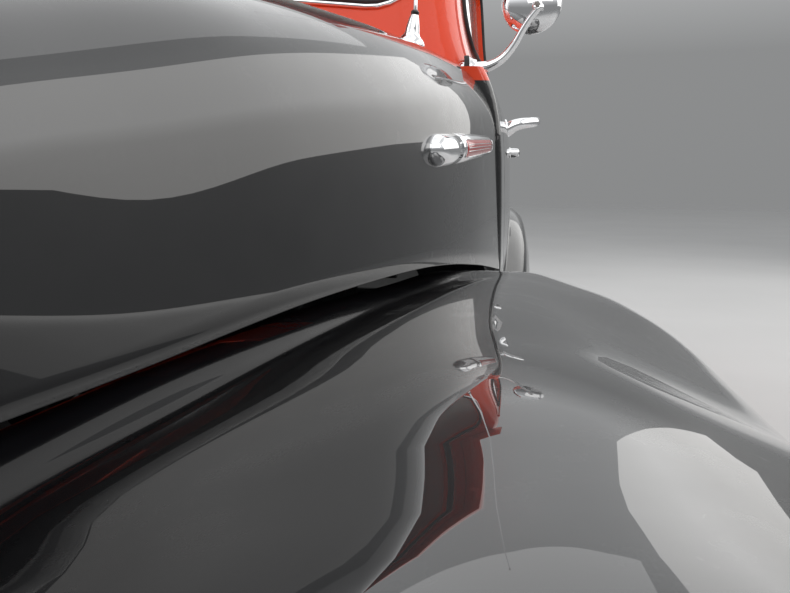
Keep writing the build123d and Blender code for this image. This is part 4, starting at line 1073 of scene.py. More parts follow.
LAMP_X = 660
LAMP_Z = 822
LAMP_FACE_Y = -2425
LENS_RADIUS = 96.5
LENS_RINGS = 36
LENS_STEPS = 144
FLUTE_PITCH = 10.5
FLUTE_DEPTH = 0.8
LAMP_RIM = [
    (94, 5), (97, 11), (103, 15.5), (112, 17.5), (121, 16), (127, 11.5), (130.5, 4), (130.5, -6),
    (129, -7.5), (120, -7.5), (120, 8), (100, 8), (97, 3),
]
REFLECTOR = [
    (94, 4), (88, -12), (76, -30), (60, -44), (40, -54), (18, -58), (16, -60), (42, -57), (62, -47),
    (79, -32), (91, -12), (95, 0),
]
BULB = [(0, -60), (16, -60), (15, -50), (11, -44), (13, -38), (15, -28), (13, -19), (7, -13), (0, -11)]
TAIL_LAMP = (742, 4208, 1010)
TAIL_BEZEL = [(36, -2), (37.5, 3), (41, 5.6), (45, 4.6), (48, 0), (48.4, -8), (46, -9), (45, -2), (38, -3)]
TAIL_DOME = [
    (0, -4), (38, -4), (37.5, 2), (34, 7), (33, 6.2), (31, 9), (25, 12.4), (24, 11.8),
    (22, 13.6), (14, 16), (0, 17),
]


def lens_ring(build, face, number):
    """One ring of corners of the fluted lens, its middle a single corner."""
    r = LENS_RADIUS * number / LENS_RINGS
    ring = []
    for j in range(LENS_STEPS if number else 1):
        angle = math.tau * j / LENS_STEPS
        x, z = r * math.cos(angle), r * math.sin(angle)
        flute = FLUTE_DEPTH * math.cos(math.tau * x / FLUTE_PITCH) * min(1, (LENS_RADIUS - r) / 10)
        out = 7 + 19 * (1 - (r / LENS_RADIUS) ** 2) + flute
        ring.append(build.verts.new(Vector((face.x + x, face.y - out, face.z + z)) / 1000))
    return ring


def make_headlamp(word, side):
    face = Vector((side * LAMP_X, LAMP_FACE_Y, LAMP_Z))
    lathe(f"lamp_rim_{word}", LAMP_RIM, face, (0, -1, 0), CHROME, "body", 72, closed=True)
    build = bmesh.new()
    skin(build, [lens_ring(build, face, number) for number in range(LENS_RINGS + 1)])
    lens = finish_mesh(f"lamp_lens_{word}", build, LAMP, "body", 60)
    thicken(lens, 0.003)
    lathe(f"reflector_{word}", REFLECTOR, face, (0, -1, 0), CHROME, "body", 64, closed=True)
    lathe(f"bulb_{word}", BULB, face, (0, -1, 0), LAMP, "body", 28)
    return lens


def make_tail_lamp(word, side):
    x, place, z = TAIL_LAMP
    end = Vector((side * x, mm_back(place), z))
    lathe(f"tail_bezel_{word}", TAIL_BEZEL, end, (0, 1, 0), CHROME, "body", 56, closed=True)
    lathe(f"tail_lens_{word}", TAIL_DOME, end, (0, 1, 0), LENS_RED, "body", 56)


lenses = [make_headlamp(word, side) for word, side in SIDES]
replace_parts(lenses[0], "lamp_lenses")
for word, side in SIDES:
    make_tail_lamp(word, side)


# Bumpers, grille bars and running board ribs

BAR_SECTION = [
    # distance outwards, share of the half height
    (-11, -1.0), (-5, -1.0), (0, -0.94), (4, -0.80), (6.4, -0.50), (7.4, -0.16),
    (7.4, 0.16), (6.4, 0.50), (4, 0.80), (0, 0.94), (-5, 1.0), (-11, 1.0),
]
FRONT_BAR = [(-880, -706), (-520, -766), (0, -780), (520, -766), (880, -706)]
REAR_BAR = [(-840, 4188), (-500, 4244), (0, 4254), (500, 4244), (840, 4188)]
GUARD_X = 300
GUARD = [
    # height, radius
    (425, 9), (440, 13), (470, 15.5), (520, 16), (570, 15), (600, 12.5), (616, 8),
]
BUMPER_BOLT = [(0, -10), (15, -10), (15, 6), (13.5, 8.6), (9, 10.6), (0, 11.8)]
BRACKET_X = 398
BRACKETS = [
    # end, half height, length, place, height, X of its width's way
    ("front", 23, 192, -768, 499, 1), ("rear", 16, 138, 4240, 480, -1),
]
BOLTS = [
    # end, place, height, way
    ("front", -772, 505, -1), ("rear", 4245, 485, 1),
]
GRILLE_BARS = [(490, 545), (490, 613), (486, 681), (462, 749), (400, 817)]
BOARD_RIBS = 7
RIB_X = 796
RIB_PITCH = 20
RIB_Z = 474.2
EDGE_X = 936
EDGE_Z = 468


def bumper_bar(name, points, radii, low, high, forward):
    """A bowed and crowned chrome bar with rolled edges."""
    path = rounded_path(points, radii, 16, 8)
    middle, half = (low + high) / 2, (high - low) / 2
    rows = []
    for i, point in enumerate(path):
        way = (path[min(i + 1, len(path) - 1)] - path[max(i - 1, 0)]).normalized()
        out = Vector((way.y, -way.x)) * forward
        spots = [(point + out * d, middle + half * share) for d, share in BAR_SECTION]
        rows.append([Vector((spot.x, mm_back(spot.y), z)) / 1000 for spot, z in spots])
    bar = grid(name, rows, CHROME, "body", flip=forward < 0, smooth=40)
    thicken(bar, 0.0032)
    return bar


def make_bumper_fittings(word, side):
    rows = [(side * GUARD_X, mm_back(-777 + 0.0006 * (z - 520) ** 2), z, r) for z, r in between(GUARD, 3)]
    sweep(f"bumper_guard_{word}", rows, CHROME, "body", 24, (0, -1, 0), 1.55)
    for end, half, depth, place, z, way in BRACKETS:
        origin = (side * BRACKET_X, mm_back(place), z)
        outline = round_box(18, half, 5)
        slab(f"{end}_bracket_{word}", outline, depth, origin, (way, 0, 0), (0, 0, 1), CHASSIS, "body", 2)
    for end, place, z, way in BOLTS:
        bolt = (side * BRACKET_X, mm_back(place), z)
        lathe(f"bumper_bolt_{word}_{end}", BUMPER_BOLT, bolt, (0, way, 0), CHROME, "body", 36)


def make_grille():
    for number, (half, low) in enumerate(GRILLE_BARS):
        path = rounded_path([(-half + 3, -598), (0, -655), (half - 3, -598)], [1500], 24, 6)
        rows = [(point.x, mm_back(point.y - 11.5), low + 15, 9.5) for point in path]
        sweep(f"grille_strip_{number}", rows, CHROME, "body", 12, (0, 0, 1), 0.42)


def make_board_ribs(word, side):
    for number in range(BOARD_RIBS):
        x = side * (RIB_X + RIB_PITCH * number)
        rows = [(x, mm_back(place), RIB_Z, 2.4) for place in (850, 1400, 1950, 2420)]
        sweep(f"board_rib_{word}_{number}", rows, RUBBER, "body", 8, (0, 0, 1), 2.6)
    edge = [(side * EDGE_X, mm_back(place), EDGE_Z, 4.2) for place in (700, 1300, 1900, 2470)]
    sweep(f"board_edge_{word}", edge, CHROME, "body", 10, (0, 0, 1), 0.8)


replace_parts(bumper_bar("front_bumper_bar", FRONT_BAR, [400, 2500, 400], 440, 570, 1), "front_bumper")
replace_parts(bumper_bar("rear_bumper_bar", REAR_BAR, [400, 3000, 400], 430, 540, -1), "rear_bumper")
make_grille()
for word, side in SIDES:
    make_bumper_fittings(word, side)
    make_board_ribs(word, side)


# Seat: channelled pads, puffed up as cloth under pressure

PAD_CELL = 15.0
CLOTH = {
    "quality": 5,
    "mass": 0.25,
    "tension_stiffness": 12,
    "compression_stiffness": 12,
    "bending_stiffness": 0.4,
    "use_pressure": True,
    "uniform_pressure_force": 4.0,
}
PUFF_FRAMES = 20
PUFF_CAP = 0.010
SEAMS = [-520 + 80 * i for i in range(14)]
SEAM_WIDTH = 9
PIPING = satin("seat_welt", (0.11, 0.035, 0.02), 0.5, 0.3, 300.0)


def pad_lattice(low, high, radius):
    """The corners of cells on a rounded box, by their place in its lattice, then its faces and counts."""
    counts = [max(4, round((b - a) / PAD_CELL)) for a, b in zip(low, high)]
    inner_low = [a + radius for a in low]
    inner_high = [b - radius for b in high]
    points = {}
    faces = []
    for axis in range(3):
        u, v = (axis + 1) % 3, (axis + 2) % 3
        for end, i, j in product((0, counts[axis]), range(counts[u]), range(counts[v])):
            corners = []
            for di, dj in ((0, 0), (1, 0), (1, 1), (0, 1)):
                key = [0, 0, 0]
                key[axis], key[u], key[v] = end, i + di, j + dj
                corners.append(tuple(key))
            faces.append(corners if end else corners[::-1])
            for key in corners:
                spot = Vector(a + (b - a) * k / n for a, b, k, n in zip(low, high, key, counts))
                core = Vector(min(max(s, a), b) for s, a, b in zip(spot, inner_low, inner_high))
                away = spot - core
                points[key] = core + away.normalized() * radius if away.length > 1e-6 else spot
    return points, faces, counts


def make_pad(name, low, high, radius):
    """A pad's starting mesh, the number of each lattice point among its corners, and the counts."""
    points, faces, counts = pad_lattice(low, high, radius)
    order = {key: number for number, key in enumerate(points)}
    faces = [[order[key] for key in face] for face in faces]
    mesh = bpy.data.meshes.new(name)
    mesh.from_pydata([tuple(point / 1000) for point in points.values()], [], faces)
    return link(name, mesh, VINYL, "body", 80), order, counts


def puff(pads):
    """Blows the pads up as cloth, moves no point further than the cap, and keeps the result as the mesh."""
    before = {pad: [vertex.co.copy() for vertex in pad.data.vertices] for pad in pads}
    for pad in pads:
        cloth = pad.modifiers.new("puff", "CLOTH")
        for key, value in CLOTH.items():
            setattr(cloth.settings, key, value)
        cloth.settings.effector_weights.gravity = 0.0
        cloth.point_cache.frame_start = 1
        cloth.point_cache.frame_end = PUFF_FRAMES
    for number in range(1, PUFF_FRAMES + 1):
        scene.frame_set(number)
    graph = bpy.context.evaluated_depsgraph_get()
    moved = {pad: [vertex.co.copy() for vertex in pad.evaluated_get(graph).data.vertices] for pad in pads}
    for pad in pads:
        pad.modifiers.remove(pad.modifiers["puff"])
        for vertex, start, end in zip(pad.data.vertices, before[pad], moved[pad]):
            shift = end - start
            if shift.length > PUFF_CAP:
                shift *= PUFF_CAP / shift.length
            vertex.co = start + shift
    scene.frame_set(1)


def sew(pad, depth, axis, way, low, high):
    """Presses sewn channels into a pad's face and keeps it in its space."""
    pad.data.update()
    normals = [vertex.normal.copy() for vertex in pad.data.vertices]
    for vertex, normal in zip(pad.data.vertices, normals):
        faced = max(0.0, min(1.0, (normal[axis] * way - 0.15) / 0.45))
        near = min(abs(vertex.co.x * 1000 - seam) for seam in SEAMS)
        press = depth * math.exp(-(near / SEAM_WIDTH) ** 2) * faced
        vertex.co -= normal * press / 1000
        for k in range(3):
            vertex.co[k] = min(max(vertex.co[k], low[k] / 1000), high[k] / 1000)


def welt(name, made, axis, end):
    """A sewn welt round one face of a pad, along its rounded edge; end is 0 or 1 along the axis."""
    pad, order, counts = made
    u, v = [k for k in range(3) if k != axis]
    ring = [(i, 0) for i in range(counts[u])]
    ring += [(counts[u], j) for j in range(counts[v])]
    ring += [(i, counts[v]) for i in range(counts[u], 0, -1)]
    ring += [(0, j) for j in range(counts[v], 0, -1)]
    rows = []
    for a, b in ring:
        key = [0, 0, 0]
        key[axis], key[u], key[v] = counts[axis] * end, a, b
        rows.append((*(pad.data.vertices[order[tuple(key)]].co * 1000), 3.6))
    up = [0, 0, 0]
    up[axis] = 1
    sweep(name, rows, PIPING, "body", 8, up, 1.0, True)


def make_seat():
    cushion = make_pad("seat_cushion_pad", (-594, -524, 851), (594, -84, 988), 42)
    rest = make_pad("seat_back_pad", (-592, -96, 1008), (592, -18, 1410), 34)
    puff([cushion[0], rest[0]])
    sew(cushion[0], 9, 2, 1, (-600, -533, 850.4), (600, -73, 1000))
    sew(rest[0], 8, 1, -1, (-600, -103, 1001), (600, -8, 1420))
    welt("seat_cushion_welt_top", cushion, 2, 1)
    welt("seat_cushion_welt_low", cushion, 2, 0)
    welt("seat_back_welt_front", rest, 1, 0)
    welt("seat_back_welt_rear", rest, 1, 1)
    for pad, node, fill in ((cushion[0], "seat_cushion", 0.85), (rest[0], "seat_back", 0.8)):
        soft = pad.modifiers.new("soft", "SUBSURF")
        soft.levels = 1
        soft.render_levels = 1
        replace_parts(pad, node)


make_seat()


# Controls, dials and inside fittings

DIAL = satin("dial_face", (0.74, 0.72, 0.64), 0.45, 0.05, 300.0)
WHEEL_AXIS = Vector((0, 0.694658, 0.71934))
WHEEL_HUB = Vector((340, -673, 1215))
HORN_BUTTON = [
    (0, -6), (34, -6), (35, 4), (34, 9), (30, 12.5), (27, 13), (26, 12), (24.5, 14.5), (14, 18), (0, 19),
]
SHIFT_COLLAR = [(0, -16), (30, -16), (31.5, -13), (31.5, 13), (30, 16), (0, 16)]
SHIFT_KNOB = [(0, -6), (6, -6), (9, -2), (14, 6), (15.5, 14), (14, 22), (9, 28), (0, 30.5)]
SHIFT_LEVER = [
    # X, Y and height from the collar, radius
    (-20, 0, 0, 7), (-70, 3, 8, 6.4), (-130, 12, 26, 6), (-176, 22, 44, 5.6),
]
GAUGE_PLACES = (272, 408)
GAUGE_RADIUS = 58
GAUGE_Z = 1190
GAUGE_MARKS = 9
DASH_BARS = 9
DASH_BAR_PITCH = 14
DASH_BAR_X = -56
KNOB_PLACES = (120, 160, 200)
KNOB_Z = 1140
GLOVEBOX = (-350, 1188)
CAB_Y = -400
DOOR_INSIDE_X = 420
COLLAR_DROP = 92
GAUGE_BOSS = [(0, 0), (5, 0), (5, 3.6), (3.6, 5), (0, 5.6)]
LID_KNOB = [(0, 0), (6, 0), (5, 6), (9, 10), (10, 14), (8, 18), (0, 19.5)]
DASH_KNOB = [(0, -2), (9, -2), (9, 1), (4, 3), (4, 14), (9, 17), (10, 21), (8, 25), (0, 26)]
PEDALS = [
    # X, half width, half height, rise over the floor
    (404, 30, 26, 118), (276, 30, 26, 118), (196, 22, 48, 108),
]
INSIDE_ROSE = [(0, -3), (22, -3), (23, 2), (20, 6), (13, 8), (12, 18), (0, 19)]
CRANK_KNOB = [(0, 0), (9, 0), (11, 4), (12, 12), (11, 22), (7, 26), (0, 27)]
DOOR_ARMS = [
    # label, place, height, forward reach, rise, radius
    ("crank", 1330, 1190, 96, -22, 6.5), ("pull", 1560, 1180, -92, 6, 7.5),
]


def make_wheel_fittings():
    lathe("horn_button", HORN_BUTTON, WHEEL_HUB + WHEEL_AXIS * 6, WHEEL_AXIS, CHROME, "steering_wheel", 56)
    collar = WHEEL_HUB - WHEEL_AXIS * COLLAR_DROP
    lathe("shift_collar", SHIFT_COLLAR, collar, WHEEL_AXIS, BAKELITE, "body", 48)
    lever = [(collar.x + x, collar.y + y, collar.z + z, radius) for x, y, z, radius in SHIFT_LEVER]
    sweep("shift_lever", between(lever, 4), CHROME, "body", 14, (0, 1, 0))
    lathe("shift_knob", SHIFT_KNOB, lever[-1][:3], (-0.9, 0.2, 0.35), BAKELITE, "body", 32)


def on_dash(x, z):
    return surface(("dashboard",), (x, CAB_Y, z), (0, -1, 0))


def hand_way(degrees):
    """The way a hand on a dial points, turned from straight up."""
    angle = math.radians(degrees)
    return Vector((math.sin(angle), 0, math.cos(angle)))


def make_gauge(number, x):
    face, normal = on_dash(x, GAUGE_Z)
    r = GAUGE_RADIUS
    rim = [(r - 3, -1), (r - 1, 4), (r + 3, 6), (r + 6.5, 4), (r + 7.5, -2), (r - 3, -3)]
    lathe(f"gauge_rim_{number}", rim, face, normal, CHROME, "body", 64, closed=True)
    disc = [(0, -2), (r - 2, -2), (r - 2, 0.6), (r * 0.6, 1.0), (0, 1.2)]
    lathe(f"gauge_face_{number}", disc, face, normal, DIAL, "body", 64)
    for mark in range(GAUGE_MARKS):
        way = hand_way(-120 + 30 * mark)
        rows = [(*(face + normal * 1.6 + way * reach), 0.9) for reach in (r - 10, r - 18)]
        sweep(f"gauge_{number}_mark_{mark}", rows, BAKELITE, "body", 6, (0, 1, 0))
    pin = face + normal * 3.2
    tip = pin + hand_way(-70 + 80 * number) * (r - 16)
    sweep(f"gauge_needle_{number}", [(*pin, 1.7), (*tip, 0.5)], INLAY_RED, "body", 8, (0, 1, 0))
    lathe(f"gauge_boss_{number}", GAUGE_BOSS, face, normal, BAKELITE, "body", 24)


def make_dash():
    for number, x in enumerate(GAUGE_PLACES):
        make_gauge(number, x)
    for number in range(DASH_BARS):
        x = DASH_BAR_X + DASH_BAR_PITCH * number
        _, normal = on_dash(x, GAUGE_Z)
        rows = [(*(on_dash(x, z)[0] + normal * 2), 3.2) for z in (1144, GAUGE_Z, 1236)]
        sweep(f"dash_bar_{number}", rows, CHROME, "body", 10, (0, 1, 0), 0.9)
    face, _ = on_dash(*GLOVEBOX)
    lid = face + Vector((0, 4.5, 0))
    slab("glovebox_lid", round_box(140, 52, 16), 6, lid, (-1, 0, 0), (0, 0, 1), RED, "body", 1.4)
    lathe("glovebox_knob", LID_KNOB, face + Vector((0, 4, 30)), (0, 1, 0), CHROME, "body", 28)
    for number, x in enumerate(KNOB_PLACES):
        lathe(f"dash_knob_{number}", DASH_KNOB, *on_dash(x, KNOB_Z), BAKELITE, "body", 28)


def make_pedals():
    for number, (x, wide, tall, rise) in enumerate(PEDALS):
        foot, _ = surface(("floor",), (x, -1010, 900), (0, 0, -1))
        pad = Vector((x, -1000, foot.z + rise))
        arm = [(x, foot.y - 26, foot.z - 1, 6), (x, foot.y - 18, foot.z + 60, 6)]
        arm.append((x, pad.y - 6, pad.z - 6, 6))
        sweep(f"pedal_arm_{number}", between(arm, 4), CHASSIS, "body", 12, (0, 1, 0))
        outline = round_box(wide, tall, 8)
        slab(f"pedal_pad_{number}", outline, 10, pad, (-1, 0, 0), (0, -0.6, 0.8), RUBBER, "body", 2)


def make_door_insides(word, side):
    door = f"door_{word}"
    way = Vector((-side, 0, 0))
    for label, place, z, reach, rise, thick in DOOR_ARMS:
        face, _ = surface((door,), (side * DOOR_INSIDE_X, mm_back(place), z), (side, 0, 0))
        lathe(f"door_{label}_rose_{word}", INSIDE_ROSE, face, way, CHROME, door)
        start = face + way * 14
        end = start + Vector((0, reach, rise)) + way * 8
        rows = [(*start, thick + 2), (*(start.lerp(end, 0.5) + way * 3), thick), (*end, thick - 1.5)]
        sweep(f"door_{label}_arm_{word}", between(rows, 5), CHROME, door, 14, (side, 0, 0), 1.4)
        if label == "crank":
            lathe(f"door_crank_knob_{word}", CRANK_KNOB, end, way, BAKELITE, door, 28)


make_wheel_fittings()
make_dash()
make_pedals()
for word, side in SIDES:
    make_door_insides(word, side)


# Load floor

def planks(name):
    """Oiled boards: long grain with darker pores."""
    material, tree, shader = new_material(name, Metallic=0.0)
    grain = noise(tree, 9.0, 8.0, 0.6, (9, 0.35, 1))
    stops = [(0.28, (0.10, 0.045, 0.018, 1)), (0.5, (0.26, 0.13, 0.055, 1)), (0.72, (0.36, 0.20, 0.09, 1))]
    tree.links.new(ramp(tree, grain, stops), shader.inputs["Base Color"])
    rough = ramp(tree, noise(tree, 20.0), [(0.3, grey(0.42)), (0.7, grey(0.62))])
    tree.links.new(rough, shader.inputs["Roughness"])
    bump(tree, shader, grain, 0.3, 0.0008)
    return material


LOAD_BOARDS = 8
BOARD_PITCH = 142
BOARD_X = -497
BOARD_TOP = 652.4


def make_load_floor():
    wood = planks("oiled_boards")
    board = round_box(66, 1120, 3, 2)
    for number in range(LOAD_BOARDS):
        place = (BOARD_X + BOARD_PITCH * number, 1160, BOARD_TOP)
        slab(f"load_board_{number}", board, 12, place, (1, 0, 0), (0, 1, 0), wood, "body", 1.2)
    for number in range(LOAD_BOARDS - 1):
        x = BOARD_X + BOARD_PITCH * (number + 0.5)
        rows = [(x, y, BOARD_TOP + 0.2, 3.4) for y in (44, 700, 1500, 2276)]
        sweep(f"load_strip_{number}", rows, STEEL, "body", 8, (0, 0, 1), 3.2)


make_load_floor()


# Rear door fittings

PLATE = satin("blank_plate", (0.62, 0.62, 0.60), 0.38, 0.08, 200.0)
LATCH_DOOR = "rear_door_left"
TAIL_HINGE = (650, 2427)
HINGE_HEIGHTS = (760, 1150, 1500)
HINGE_PIN = [
    (0, -38), (5, -38), (8.6, -35), (8.6, -13), (8, -12.4), (8.6, -12), (8.6, 12), (8, 12.4),
    (8.6, 13), (8.6, 35), (5, 38), (0, 38),
]
HINGE_BOLT = [(0, 0), (7.5, 5.4), (7, 7.4), (4.4, 8.8), (0, 9.4)]
TAIL_ROSE = [(0, -8), (27, -8), (28, 0), (26, 3.4), (21, 6), (14, 8), (13, 26), (0, 27)]
TAIL_LOCK = [(0, -4), (14, -4), (14.5, 1), (12.5, 4), (11.5, 14), (9, 16), (0, 17)]
TAIL_LEVER = [
    # X, distance behind the door, height, radius
    (62, 12, 1030, 12), (62, 34, 1030, 13.5), (74, 46, 1029, 13), (104, 50, 1027, 11.5),
    (146, 49, 1024, 10.5), (176, 46, 1020, 8.5),
]
HANDLE_SPOT = (62, 1030)
LOCK_SPOT = (62, 962)
PLATE_PLACE = (330, 800)
PLATE_LAMP_Z = 902
PLATE_LAMP = [(0, -3), (24, -3), (25, 2), (23, 20), (17, 30), (8, 35), (0, 36)]


def make_tail_hinge(word, side, number, z):
    door = f"rear_door_{word}"
    pin = Vector((side * TAIL_HINGE[0], TAIL_HINGE[1], z))
    lathe(f"tail_hinge_pin_{word}_{number}", HINGE_PIN, pin, (0, 0, 1), TWO_TONE, door, 24)
    rows = [(*(pin + Vector((side * -3, 0, 0))), 3.4)]
    for x in (628, 604, 580, 556):
        point, normal = on_tail_door(word, side, x, z)
        if point is not None:
            rows.append((*(point + normal * 2.6), 3.4))
    sweep(f"tail_hinge_strap_{word}_{number}", between(rows, 3), TWO_TONE, door, 16, (0, 1, 0), 4.6)
    for x in (568, 604):
        spot = on_tail_door(word, side, x, z)
        lathe(f"tail_hinge_bolt_{word}_{number}_{x}", HINGE_BOLT, *spot, CHROME, door, 20)


def make_tail_handle():
    point, _ = on_tail_door("left", 1, *HANDLE_SPOT)
    lathe("tail_handle_rose", TAIL_ROSE, point, (0, 1, 0), CHROME, LATCH_DOOR, 48)
    lever = [(x, point.y + out, z, radius) for x, out, z, radius in TAIL_LEVER]
    sweep("tail_handle_lever", between(lever, 4), CHROME, LATCH_DOOR, 22, (0, 0, 1), 0.8)
    lock, _ = on_tail_door("left", 1, *LOCK_SPOT)
    lathe("tail_lock", TAIL_LOCK, lock, (0, 1, 0), CHROME, LATCH_DOOR, 36)
    rows = []
    for z in [632 + 102.6 * i for i in range(11)]:
        spot, _ = on_tail_door("left", 1, 12, z)
        if spot is not None:
            rows.append((6, spot.y + 2.4, z, 3.4))
    sweep("tail_cover_strip", rows, TWO_TONE, LATCH_DOOR, 10, (0, 1, 0), 3.4)


def make_tail_plate():
    x, z = PLATE_PLACE
    middle, _ = on_tail_door("left", 1, x, z)
    face = Vector((x, middle.y + 15, z))
    slab("tail_plate", round_box(152, 76, 12), 2.2, face, (-1, 0, 0), (0, 0, 1), PLATE, LATCH_DOOR, 0.8)
    rim = [(x + u, face.y + 0.4, z + v, 3.0) for u, v in round_box(150, 74, 12, 5)]
    sweep("tail_plate_rim", rim, CHROME, LATCH_DOOR, 10, (0, 1, 0), 1.0, True)
    for number, (u, v) in enumerate(((-108, 54), (108, 54), (-108, -54), (108, -54))):
        spot, _ = on_tail_door("left", 1, x + u, z + v)
        depth = face.y - spot.y
        bolt = [(0, -3), (9, -3), (9, depth - 3), (8.5, depth + 1), (7, depth + 4), (0, depth + 5.4)]
        lathe(f"tail_plate_bolt_{number}", bolt, spot, (0, 1, 0), STEEL, LATCH_DOOR, 24)
    spot, _ = on_tail_door("left", 1, x, PLATE_LAMP_Z)
    lathe("plate_lamp", PLATE_LAMP, spot, (0, 1, -0.15), CHROME, LATCH_DOOR)


for word, side in SIDES:
    for number, z in enumerate(HINGE_HEIGHTS):
        make_tail_hinge(word, side, number, z)
make_tail_handle()
make_tail_plate()


# Parking lamps, fuel filler, brace of the visor and radiator core

PARK_LAMP = (700, 640)
FILLER = (2260, 1040)
PARK_RIM = [(31, 2), (34, 9), (38, 11.5), (42, 9), (45, 2), (47, -12), (40, -14), (33, -6)]
PARK_DOME = [(0, -6), (33, -6), (33, 6), (31, 7), (29, 11), (24, 13), (22, 16), (14, 18.4), (0, 19.4)]
FILLER_RING = [(0, -5), (47, -5), (48, 0), (45, 3), (40, 4.4), (0, 4.6)]
FILLER_CAP = [(0, 2), (35, 2), (35.6, 9), (33, 13), (24, 16), (22, 15), (20, 17), (10, 19), (0, 19.6)]


def make_parking_lamp(word, side):
    x, z = PARK_LAMP
    face, normal = surface(("front_fenders",), (side * x, -BEHIND_Y, z), (0, 1, 0))
    axis = (normal + Vector((0, -2.2, 0))).normalized()
    place = face + axis * 3
    lathe(f"park_rim_{word}", PARK_RIM, place, axis, CHROME, "body", 48, closed=True)
    lathe(f"park_lens_{word}", PARK_DOME, place, axis, LAMP, "body", 48)


def make_small_fittings():
    place, z = FILLER
    cap, _ = from_side(("body_sides",), -1, mm_back(place), z)
    lathe("fuel_filler_ring", FILLER_RING, cap, (-1, 0, 0), BLACK, "body", 64)
    lathe("fuel_filler_cap", FILLER_CAP, cap, (-1, 0, 0), CHROME, "body", 64)
    low, _ = from_ahead(NEAR_MIDDLE, 1640)
    rows = [(0, low.y - 6, 1636, 6), (0, low.y - 22, 1652, 5.4), (0, -1030, 1664, 5.4), (0, -1044, 1666, 6)]
    sweep("visor_brace", between(rows, 4), CHROME, "body", 14, (1, 0, 0), 0.9)


def shaded_fins(name):
    """Dull black radiator core: its fins are in the bump, and painted shade between them darkens the colour
    in bands across X.
    """
    material, tree, shader = new_material(name, Metallic=0.4, Roughness=0.55)
    inputs = {"Scale": 60.0, "Vector": own_place(tree)}
    wave = add_node(tree, "ShaderNodeTexWave", inputs, wave_type="BANDS", bands_direction="X").outputs["Fac"]
    # Painted shade: darker bands for the shaded gaps between the fins, lighter bands for the fins
    tree.links.new(ramp(tree, wave, [(0.2, grey(0.006)), (0.8, grey(0.055))]), shader.inputs["Base Color"])
    bump(tree, shader, wave, 0.8, 0.002)
    return material


for word, side in SIDES:
    make_parking_lamp(word, side)
make_small_fittings()
dress("radiator", shaded_fins("radiator_core"))


# Engine: a straight six with its manifolds, fan, ignition and gearbox

ENGINE_ENAMEL = satin("engine_enamel", (0.030, 0.036, 0.040), 0.42, 0.25, 120.0)
BRASS = plated("brass_fitting", 0.55, 0.18, 0.34)
ALLOY = satin("cast_alloy", (0.42, 0.42, 0.41), 0.42, 0.5, 220.0)
HOSE = satin("rubber_hose", (0.02, 0.02, 0.02), 0.6, 0.5, 180.0)
ENGINE_FRONT = -1863
ENGINE_REAR = -1253
ENGINE_LENGTH = ENGINE_REAR - ENGINE_FRONT
UPWARDS = (0, 0, 1)
FORWARDS = (0, -1, 0)
HUB = Vector((0, ENGINE_FRONT, 772))
DISTRIBUTOR = (172, -1560, 836)
PLUG_HEX = [(0, -4), (12, -4), (12, 8), (9, 10), (0, 10)]
PLUG_TOP = [(0, 8), (7.5, 8), (7, 18), (7.8, 20), (6.4, 24), (6, 36), (4, 38), (0, 39)]
COVER_NUT = [(0, -4), (16, -4), (16, 0), (9, 1), (9, 8), (6, 10), (5, 16), (0, 17)]
BLOCK = [
    (-96, 560), (96, 560), (132, 600), (132, 680), (104, 712), (104, 862),
    (-104, 862), (-104, 712), (-132, 680), (-132, 600),
]
OIL_PAN = [(-72, 522), (72, 522), (96, 548), (118, 552), (118, 562), (-118, 562), (-118, 552), (-96, 548)]


def arch(half, low, high, crown, steps=8):
    """The outline of a cover in section: straight sides and a crowned top."""
    points = [(-half, low), (half, low), (half, high)]
    for i in range(1, steps):
        angle = math.pi * i / steps
        points.append((half * math.cos(angle), high + crown * math.sin(angle)))
    return [*points, (-half, high)]


CASTINGS = [
    # name, outline, X, distance behind the engine's front, height, length, look, bevel
    ("engine_block", BLOCK, 0, 0, 0, ENGINE_LENGTH, ENGINE_ENAMEL, 6),
    ("oil_pan", OIL_PAN, 0, 12, 0, ENGINE_LENGTH - 30, ENGINE_ENAMEL, 5),
    ("cylinder_head", round_box(112, 32, 6), 0, 4, 893, ENGINE_LENGTH - 8, ENGINE_ENAMEL, 3),
    ("head_gasket", round_box(113, 2, 1), 0, 3, 861, ENGINE_LENGTH - 6, ALLOY, 0),
    ("valve_cover", arch(64, 924, 968, 24), 18, 33, 0, ENGINE_LENGTH - 66, ENGINE_ENAMEL, 7),
    ("generator_bracket", round_box(34, 9, 3), 156, 63, 666, 70, CHASSIS, 2),
    ("rear_mount_bar", round_box(424, 11, 4), 0, 430, 551, 40, CHASSIS, 2),
    ("front_mount_bar", round_box(60, 7, 3), 0, 170, 514, 40, CHASSIS, 2),
]
